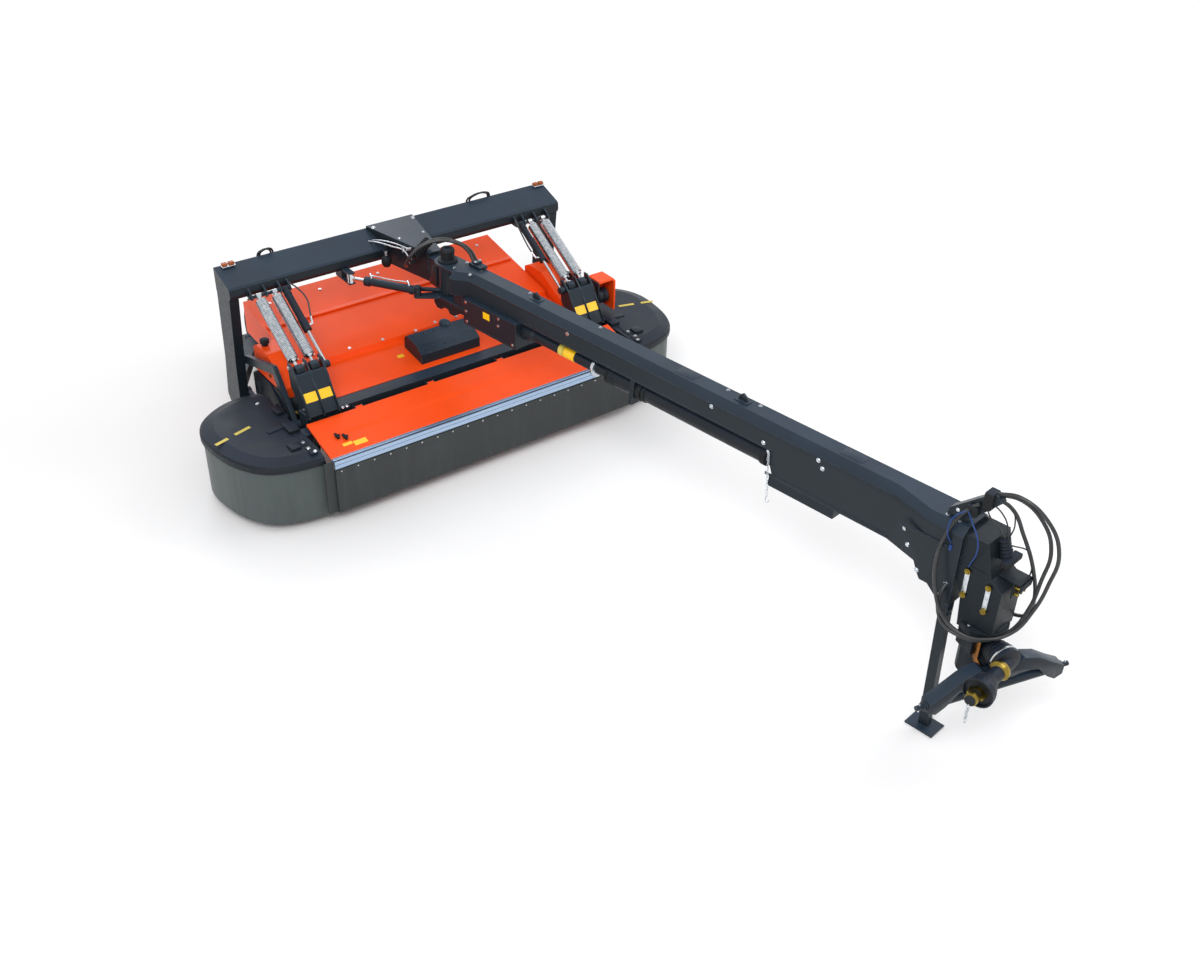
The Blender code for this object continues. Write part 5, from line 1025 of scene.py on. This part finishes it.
class MOWER_OT_drawbar(Operator):
    """Adds eyes, bolts, seams, chain and shaft rings along the drawbar"""
    bl_idname = "mower.drawbar"
    bl_label = "Dress the Drawbar"

    def execute(self, context):
        self.beam_skin()
        bolts = [bolt(along(s, WALL, z), (1, 0, 0), 0.013) for s, z in SIDE_BOLTS]
        bolts += [bolt(along(s, slim_shift(s) - WALL, z), (-1, 0, 0), 0.013) for s, z in SIDE_BOLTS]
        bolts += [bolt(along(s, way * 0.13, z), (way, 0, 0), 0.010)
                  for s, z in BOX_BOLTS for way in (-1, 1)]
        bolts += [bolt(along(s, 0.075, 1.70), UP, 0.011) for s in (0.95, 1.75, 3.05, 3.35)]
        bolts += [bolt(along(s, w, 1.70), UP, 0.012) for s, w in FRONT_BOLTS]
        piece("drawbar_bolts", bolts, "zinc", "drawbar")
        steel = []
        for s in (1.06, 3.22):
            steel.append(slab([(y - s, z) for y, z in EYE], 0, 0.031, 0.049, 0.003))
            steel.append(plate(along(s - 0.06, 0.01, 1.70), along(s + 0.06, 0.07, 1.706)))
        for way, wall in ((-1, SLIM - WALL), (1, WALL)):
            steel += strips(((0.36, wall + way * 0.001, 1.505, 3.5, wall - way * 0.0015, 1.516, 0.001),
                             (0.36, wall + way * 0.002, 1.637, 4.6, wall - way * 0.0015, 1.648, 0.001),
                             (3.56, wall + way * 0.003, 1.297, 4.6, wall - way * 0.002, 1.32, 0.001),
                             (4.72, way * 0.166, 1.515, 5.08, way * 0.1565, 1.54, 0.003),
                             (0.36, way * 0.133, 1.27, 0.97, way * 0.129, 1.285, 0.001)))
        piece("drawbar_seams", steel + strips(PADS), "slate", "drawbar")
        rings = [shaft_rod(*ring, edge=0.004) for ring in RINGS]
        rings.append(lathe(BELLOWS, along(1.94, 0, SHAFT_Z), along(3, 0, SHAFT_Z)))
        piece("shaft_rings", rings, "dark", "drawbar")
        piece("shaft_band_pale", shaft_rod(1.40, 0.055, 0.0513), "pale_label", "drawbar")
        piece("shaft_band", shaft_rod(1.46, 0.12, 0.0515), "label", "drawbar")
        clamp = [shaft_rod(1.79, 0.03, 0.0775, 0.003),
                 plate(along(2.22, -0.04, 1.49), along(2.28, 0.04, 1.506))]
        piece("shaft_clamp", clamp, "zinc", "drawbar")
        labels = strips([(0.59, way * 0.1308, 1.41, 0.67, way * 0.129, 1.47, 0.0) for way in (-1, 1)])
        piece("gearbox_label", labels, "label", "drawbar")
        links = chain([along(3.58 + 0.002 * index, -0.092 + 0.003 * (index % 2), 1.492 - 0.027 * index)
                       for index in range(14)], 0.006, 0.0085, 0.0115, 0.003)
        links += [rod(along(3.58, -0.076, 1.505), along(3.58, -0.10, 1.505), 0.012, 12),
                  hose([along(s, -0.092, z) for s, z in CHAIN_HOOK], 0.004)]
        piece("drawbar_chain", links, "zinc", "drawbar")
        return {"FINISHED"}

    @staticmethod
    def beam_skin():
        """The drawbar's own shape with its left wall set in, as in the photograph beside the shaft."""
        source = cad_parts["drawbar_beam"]
        skin = bmesh.new()
        corners = [skin.verts.new(vert.co) for vert in source.data.vertices]
        for face in source.data.polygons:
            skin.faces.new([corners[index] for index in face.vertices])
        skin.transform(DRAWBAR.inverted() @ source.matrix_world)
        bmesh.ops.remove_doubles(skin, verts=skin.verts, dist=0.0001)
        for s in SLIM_PLACES:
            bmesh.ops.bisect_plane(skin, geom=[*skin.verts, *skin.edges, *skin.faces],
                                   plane_co=along(s, 0, 0), plane_no=(0, 1, 0))
        for vert in skin.verts:
            shift = slim_shift(-vert.co.y)
            if vert.co.z > 1.69:        # the top face narrows evenly from its right edge
                vert.co.x += shift * max(0.0, min(1.0, 0.5 - vert.co.x / 0.21))
            elif vert.co.z > (1.28 if vert.co.y < -3.5 else 1.49):
                vert.co.x = max(vert.co.x, shift - WALL)
        made = piece("drawbar_skin", skin, "slate", "drawbar")
        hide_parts("drawbar_beam")


# Hitch: hoses, leads, straps and small fittings, in the drawbar's frame.
HOSE_LOOPS = (
    ((-0.05, -5.27, 1.985), (-0.03, -5.42, 2.02), (0.0, -5.60, 1.93), (0.03, -5.71, 1.72),
     (0.02, -5.70, 1.48), (-0.01, -5.66, 1.26), (-0.09, -5.60, 1.10), (-0.18, -5.48, 1.02),
     (-0.225, -5.33, 1.0), (-0.24, -5.19, 1.07), (-0.235, -5.09, 1.25), (-0.215, -5.05, 1.46),
     (-0.175, -5.06, 1.63), (-0.13, -5.10, 1.76), (-0.10, -5.15, 1.84), (-0.09, -5.20, 1.89)),
    ((-0.04, -5.27, 1.975), (-0.01, -5.42, 1.99), (0.02, -5.57, 1.89), (0.05, -5.65, 1.70),
     (0.045, -5.64, 1.46), (0.02, -5.62, 1.24), (-0.06, -5.57, 1.07), (-0.16, -5.46, 0.985),
     (-0.21, -5.32, 0.965), (-0.228, -5.20, 1.0), (-0.22, -5.13, 1.10), (-0.185, -5.115, 1.20),
     (-0.135, -5.12, 1.26)),
    ((-0.06, -5.25, 1.96), (0.0, -5.36, 1.90), (0.045, -5.46, 1.72), (0.09, -5.56, 1.47),
     (0.12, -5.60, 1.24), (0.15, -5.57, 1.09), (0.178, -5.50, 1.02), (0.178, -5.43, 1.01),
     (0.155, -5.39, 1.04), (0.125, -5.37, 1.06)))
LEADS = (
    ((-0.08, -5.22, 1.91), (-0.06, -5.28, 1.80), (-0.02, -5.34, 1.72), (0.0, -5.36, 1.66)),
    ((-0.07, -5.24, 1.93), (-0.03, -5.33, 1.85), (0.0, -5.37, 1.75), (0.01, -5.375, 1.66)),
    ((-0.05, -5.25, 1.95), (0.0, -5.36, 1.90), (0.02, -5.40, 1.78), (0.02, -5.385, 1.67)),
    ((0.03, -5.41, 1.62), (0.08, -5.50, 1.60), (0.10, -5.54, 1.48), (0.08, -5.53, 1.38),
     (0.04, -5.50, 1.34)))
BLUE_LEAD = (
    ((-0.11, -5.14, 1.82), (-0.16, -5.09, 1.78), (-0.185, -5.07, 1.70), (-0.18, -5.08, 1.62),
     (-0.15, -5.10, 1.56)),
    ((-0.12, -5.15, 1.82), (-0.165, -5.21, 1.79), (-0.19, -5.28, 1.71), (-0.185, -5.29, 1.60),
     (-0.16, -5.26, 1.51), (-0.142, -5.24, 1.45)))
BOSS = ((0, 0), (0.021, 0), (0.021, 0.012), (0.013, 0.014), (0.013, 0.02), (0, 0.02))
# Plates as two corners, each along the drawbar, across it and up, and an edge.
HITCH_RUBBERS = ((5.13, -0.115, 1.79, 5.20, -0.08, 1.86, 0.004),
                 (5.22, -0.11, 1.88, 5.28, -0.02, 2.0, 0.006), (5.41, -0.09, 1.52, 5.47, 0.09, 1.56, 0.006))
HITCH_PLATES = ((5.40, -0.05, 1.42, 5.57, 0.09, 1.43, 0.002), (5.51, -0.05, 1.30, 5.52, 0.09, 1.42, 0.002),
                (5.15, -0.135, 1.44, 5.36, -0.129, 1.452, 0.002),
                (5.56, -0.05, 1.37, 5.57, 0.09, 1.43, 0.002), (5.43, -0.1, 1.10, 5.47, 0.1, 1.30, 0.006),
                (5.35, -0.06, 0.985, 5.50, 0.06, 1.02, 0.006))
# What turns with the tractor, in the hitch's frame.
WING_TOP = ((0.10, 0.765), (0.13, 0.815), (0.17, 0.84), (0.30, 0.80), (0.43, 0.715), (0.53, 0.66))
WING_LOW = ((0.53, 0.585), (0.47, 0.555), (0.40, 0.60), (0.31, 0.695), (0.19, 0.725), (0.10, 0.70))
FIRST_GROOVES = ((0.04, 0.084), (0.07, 0.092), (0.10, 0.099))            # place along the cone, and radius
SECOND_GROOVES = ((0.03, 0.0655), (0.06, 0.079), (0.09, 0.092))
CONE_BAND = ((0.1055, 0), (0.109, 0.002), (0.109, 0.012), (0.1055, 0.014))
CONE_LIP = ((0.098, 0), (0.108, 0.002), (0.108, 0.022), (0.098, 0.024), (0.098, 0))
GOLD_RING = ((0.048, 0), (0.066, 0.004), (0.07, 0.03), (0.056, 0.046), (0.048, 0.05))


class MOWER_OT_hitch(Operator):
    """Hangs the hose loops at the hitch and adds its straps, leads, boots and couplings"""
    bl_idname = "mower.hitch"
    bl_label = "Dress the Hitch"

    def execute(self, context):
        piece("hitch_hoses", [hose(points, sizes().hose) for points in HOSE_LOOPS], "hose", "drawbar")
        piece("hitch_leads", [hose(points, sizes().lead) for points in LEADS], "hose", "drawbar")
        blue = [hose(points, 0.0048) for points in BLUE_LEAD]
        blue.append(rod(along(5.10, -0.158, 1.555), along(5.10, -0.158, 1.515), 0.012, 16, edge=0.003))
        piece("blue_lead", blue, "blue", "drawbar")
        zinc, gold = [], []
        for s, top in ((5.24, 1.415), (5.40, 1.37)):
            zinc.append(plate(along(s - 0.017, -0.137, top - 0.20), along(s + 0.017, -0.131, top)))
            gold += [lathe(BOSS, along(s, -0.134, z), along(s, -1, z)) for z in (top - 0.005, top - 0.195)]
        zinc += [rod(along(5.12, -0.125, 1.265), along(5.12, -0.158, 1.25), 0.018, 6),
                 rod(along(5.37, 0.125, 1.06), along(5.385, 0.155, 1.045), 0.018, 6)]
        zinc += [bolt(along(s, -0.082, z), (-1, 0, 0), 0.010)
                 for s, z in ((5.06, 1.77), (5.15, 1.84), (5.24, 1.93))]
        zinc += [bolt(along(5.33, w, 1.02), UP, 0.010) for w in (-0.14, 0.14)]
        piece("zinc_straps", zinc, "zinc", "drawbar")
        piece("gold_bosses", gold, "gold", "drawbar")
        boot = [(0.05 - 0.012 * (i % 2) - 0.0012 * i, 0.012 * i + 0.01) for i in range(11)]
        dark = lathe([(0.0, 0), *boot, (0, 0.14)], along(5.405, 0.01, 1.53), along(5.36, 0.0, 1.68))
        piece("hitch_boots", [dark, *strips(HITCH_RUBBERS)], "dark", "drawbar")
        piece("hitch_bracket", strips(HITCH_PLATES), "cast", "drawbar")
        couplings = [rod(along(5.519, w, z), along(5.555, w, z), 0.011, 12, edge=0.002)
                     for w in (-0.03, 0.01, 0.05) for z in (1.335, 1.385)]
        piece("couplings", couplings, "gold", "drawbar")
        self.turning()
        return {"FINISHED"}

    @staticmethod
    def turning():
        """What turns with the tractor: crossbar arms, shaft cones, yokes, strap and the hanging chain."""
        fold = math.radians(65)
        forward = Vector((0, -1, 0))
        first = Vector((0, -0.1203, 0.87))
        knee = first + forward * 0.17
        way = Vector((-math.sin(fold), -math.cos(fold), 0))
        second, tip = knee + way * 0.22, knee + way * 0.48
        half = [*WING_TOP, *WING_LOW]
        arms = [slab(half + [(-x, z) for x, z in reversed(half)], 1, -0.27, -0.17, 0.006)]
        arms += [rod((-x, -0.22, 0.615), (x, -0.22, 0.615), radius, 24)
                 for x, radius in ((0.6, 0.018), (0.545, 0.034))]
        wings = piece("crossbar_wings", arms, "slate", "hitch")
        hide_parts("crossbar")
        piece("cone_band", lathe(CONE_BAND, first + forward * 0.125, knee + forward), "zinc", "hitch")
        gold = [lathe(GOLD_RING, knee + way * 0.075, knee + way),
                rod(second + way * 0.135, second + way * 0.205, 0.042, 24, 0.034, 0.004),
                rod(second + way * 0.2, second + way * 0.25, 0.044, 24, edge=0.005)]
        for turn in (-1, 1):
            across = Vector((way.y, -way.x, 0)) * turn
            gold.append(beam(second + way * 0.10 + across * 0.045, second + way * 0.20 + across * 0.03,
                             0.05, 0.016, 0.005))
        piece("yokes", gold, "gold", "hitch")
        grooves = []
        for rows, start, line in ((FIRST_GROOVES, first, forward), (SECOND_GROOVES, second, way)):
            grooves += [lathe([(r, 0), (r + 0.004, 0.002), (r + 0.004, 0.006), (r, 0.008)],
                              start + line * at, start + line) for at, r in rows]
        grooves.append(lathe(CONE_LIP, second + way * 0.14, second + way))
        piece("cone_ribs", grooves, "plastic", "hitch")
        strap = [plate((-0.095, -0.12, 0.77), (-0.088, -0.07, 0.965), 0.001),
                 beam((-0.0915, -0.095, 0.78), (-0.0915, -0.215, 0.70), 0.006, 0.05, 0.001)]
        piece("strap", strap, "bronze", "hitch")
        links = chain([tip + Vector((0, 0, -0.052 - 0.027 * index)) for index in range(5)], 0.008, 0.012,
                      0.016, 0.004)
        links += [bolt((x, -0.22, 0.71), UP, 0.012) for x in (-0.2, 0.2)]
        links += [rod((x, -0.22, 0.58), (x, -0.22, 0.65), 0.006, 10) for x in (0.575, -0.575)]
        piece("hitch_small", links, "zinc", "hitch")
        case = [plate((-0.13, -0.08, 0.80), (-0.085, 0.08, 0.95), 0.008),
                rod((0, 0, 0.955), (0, 0, 0.9695), 0.15, 32, edge=0.003),
                plate((-0.06, -0.17, 0.75), (0.06, -0.10, 0.80), 0.008)]
        piece("hitch_case", case, "cast", "hitch")


# Studio.
def seen_rays(tree):
    """One for rays from the camera, off metal or through glass, and none for light on the machine."""
    path = add_node(tree, "LightPath")
    seen = path.outputs["Is Camera Ray"]
    for kind in ("Is Glossy Ray", "Is Transmission Ray"):
        seen = add_node(tree, "Math", {"operation": "MAXIMUM"}, {0: seen, 1: path.outputs[kind]}).outputs[0]
    return seen


# Lamps as name, place, energy and size.
LAMPS = (("key lamp", (-7, -7, 11), 800, 5.0), ("fill lamp", (9, -3, 8), 330, 7.0),
         ("rear lamp", (2, 12, 9), 300, 6.0))
PHOTO_PLACE = (-5.258, -9.753, 6.624)        # where the photograph was taken, in the machine's frame
PHOTO_TURN = (-37.58, 34.895, 1.555)         # its azimuth, height and roll in degrees
PHOTO_LENS = 39.99


class MOWER_OT_studio(Operator):
    """Lays the floor, the lamps, the world and the camera"""
    bl_idname = "mower.studio"
    bl_label = "Set the Studio"

    def execute(self, context):
        scene = context.scene
        scene.view_settings.view_transform = "Standard"
        floor = bmesh.new()
        bmesh.ops.create_grid(floor, x_segments=1, y_segments=1, size=40)
        made = piece("floor", floor, self.floor_finish(), None, WORLD)
        self.light_world(scene)
        for name, place, energy, size in LAMPS:
            lamp = bpy.data.lights.new(name, "AREA")
            lamp.energy = energy
            lamp.size = size
            holder = bpy.data.objects.new(name, lamp)
            holder.location = place
            holder.rotation_euler = (-Vector(place)).to_track_quat("-Z", "Y").to_euler()
            scene.collection.objects.link(holder)
        self.aim_camera(scene)
        return {"FINISHED"}

    @staticmethod
    def floor_finish():
        """Matt and nearly white, glowing towards the horizon for seen rays so that it has no far edge."""
        made = bpy.data.materials.new("studio floor")
        made.use_nodes = True
        tree = made.node_tree
        shader = tree.nodes["Principled BSDF"]
        shader.inputs["Base Color"].default_value = (0.93, 0.93, 0.94, 1)
        shader.inputs["Roughness"].default_value = 0.9
        shader.inputs["Specular IOR Level"].default_value = 0.1
        where = add_node(tree, "TexCoord").outputs["Object"]
        away = add_node(tree, "VectorMath", {"operation": "LENGTH"}, {0: where}).outputs["Value"]
        glow = add_node(tree, "Math", {"operation": "MULTIPLY"},
                        {0: between(tree, away, 6.0, 12.0, 0.0, 0.4), 1: seen_rays(tree)})
        shader.inputs["Emission Color"].default_value = (1, 1, 1, 1)
        tree.links.new(glow.outputs[0], shader.inputs["Emission Strength"])
        return made

    @staticmethod
    def light_world(scene):
        world = bpy.data.worlds.new("studio")
        world.use_nodes = True
        scene.world = world
        tree = world.node_tree
        back = tree.nodes["Background"]
        back.inputs["Color"].default_value = (1, 1, 1, 1)
        tree.links.new(between(tree, seen_rays(tree), 0, 1, 0.75, 1.0), back.inputs["Strength"])

    @staticmethod
    def aim_camera(scene):
        """The photograph's place, turn and lens, solved from the frame's corners."""
        lens = bpy.data.cameras.new("photo camera")
        lens.sensor_width = 36.0
        lens.lens = PHOTO_LENS
        lens.clip_end = 200
        azimuth, height, roll = (math.radians(v) for v in PHOTO_TURN)
        back = Vector((math.sin(azimuth) * math.cos(height), -math.cos(azimuth) * math.cos(height),
                       math.sin(height)))
        right = Vector((math.cos(azimuth), math.sin(azimuth), 0))
        up = back.cross(right)
        turned_right = right * math.cos(roll) + up * math.sin(roll)
        turned_up = up * math.cos(roll) - right * math.sin(roll)
        holder = bpy.data.objects.new("photo camera", lens)
        holder.matrix_world = MACHINE @ Matrix.Translation(PHOTO_PLACE) @ Matrix(
            (turned_right, turned_up, back)).transposed().to_4x4()
        scene.collection.objects.link(holder)
        scene.camera = holder


class MOWER_PT_panel(Panel):
    """The mower's sizes, colours and steps"""
    bl_idname = "MOWER_PT_panel"
    bl_label = "Disc Mower Conditioner"
    bl_space_type = "VIEW_3D"
    bl_region_type = "UI"
    bl_category = "Mower"

    def draw(self, context):
        for group in (context.scene.mower_sizes, context.scene.mower_colours):
            for name in group.__annotations__:
                self.layout.prop(group, name)
        for step in STEPS:
            self.layout.operator(step.bl_idname)


STEPS = (MOWER_OT_finishes, MOWER_OT_springs, MOWER_OT_wheels, MOWER_OT_pivot, MOWER_OT_cylinders,
         MOWER_OT_head, MOWER_OT_beam, MOWER_OT_drawbar, MOWER_OT_hitch, MOWER_OT_studio)
CLASSES = (MowerColours, MowerSizes, *STEPS, MOWER_PT_panel)


def register():
    for kind in CLASSES:
        bpy.utils.register_class(kind)
    bpy.types.Scene.mower_colours = PointerProperty(type=MowerColours)
    bpy.types.Scene.mower_sizes = PointerProperty(type=MowerSizes)


def unregister():
    del bpy.types.Scene.mower_sizes
    del bpy.types.Scene.mower_colours
    for kind in reversed(CLASSES):
        bpy.utils.unregister_class(kind)


def main():
    register()
    bpy.ops.mower.finishes()
    bpy.ops.mower.springs()
    bpy.ops.mower.wheels()
    bpy.ops.mower.pivot()
    bpy.ops.mower.cylinders()
    bpy.ops.mower.head()
    bpy.ops.mower.beam()
    bpy.ops.mower.drawbar()
    bpy.ops.mower.hitch()
    bpy.ops.mower.studio()


if __name__ == "__main__":
    main()
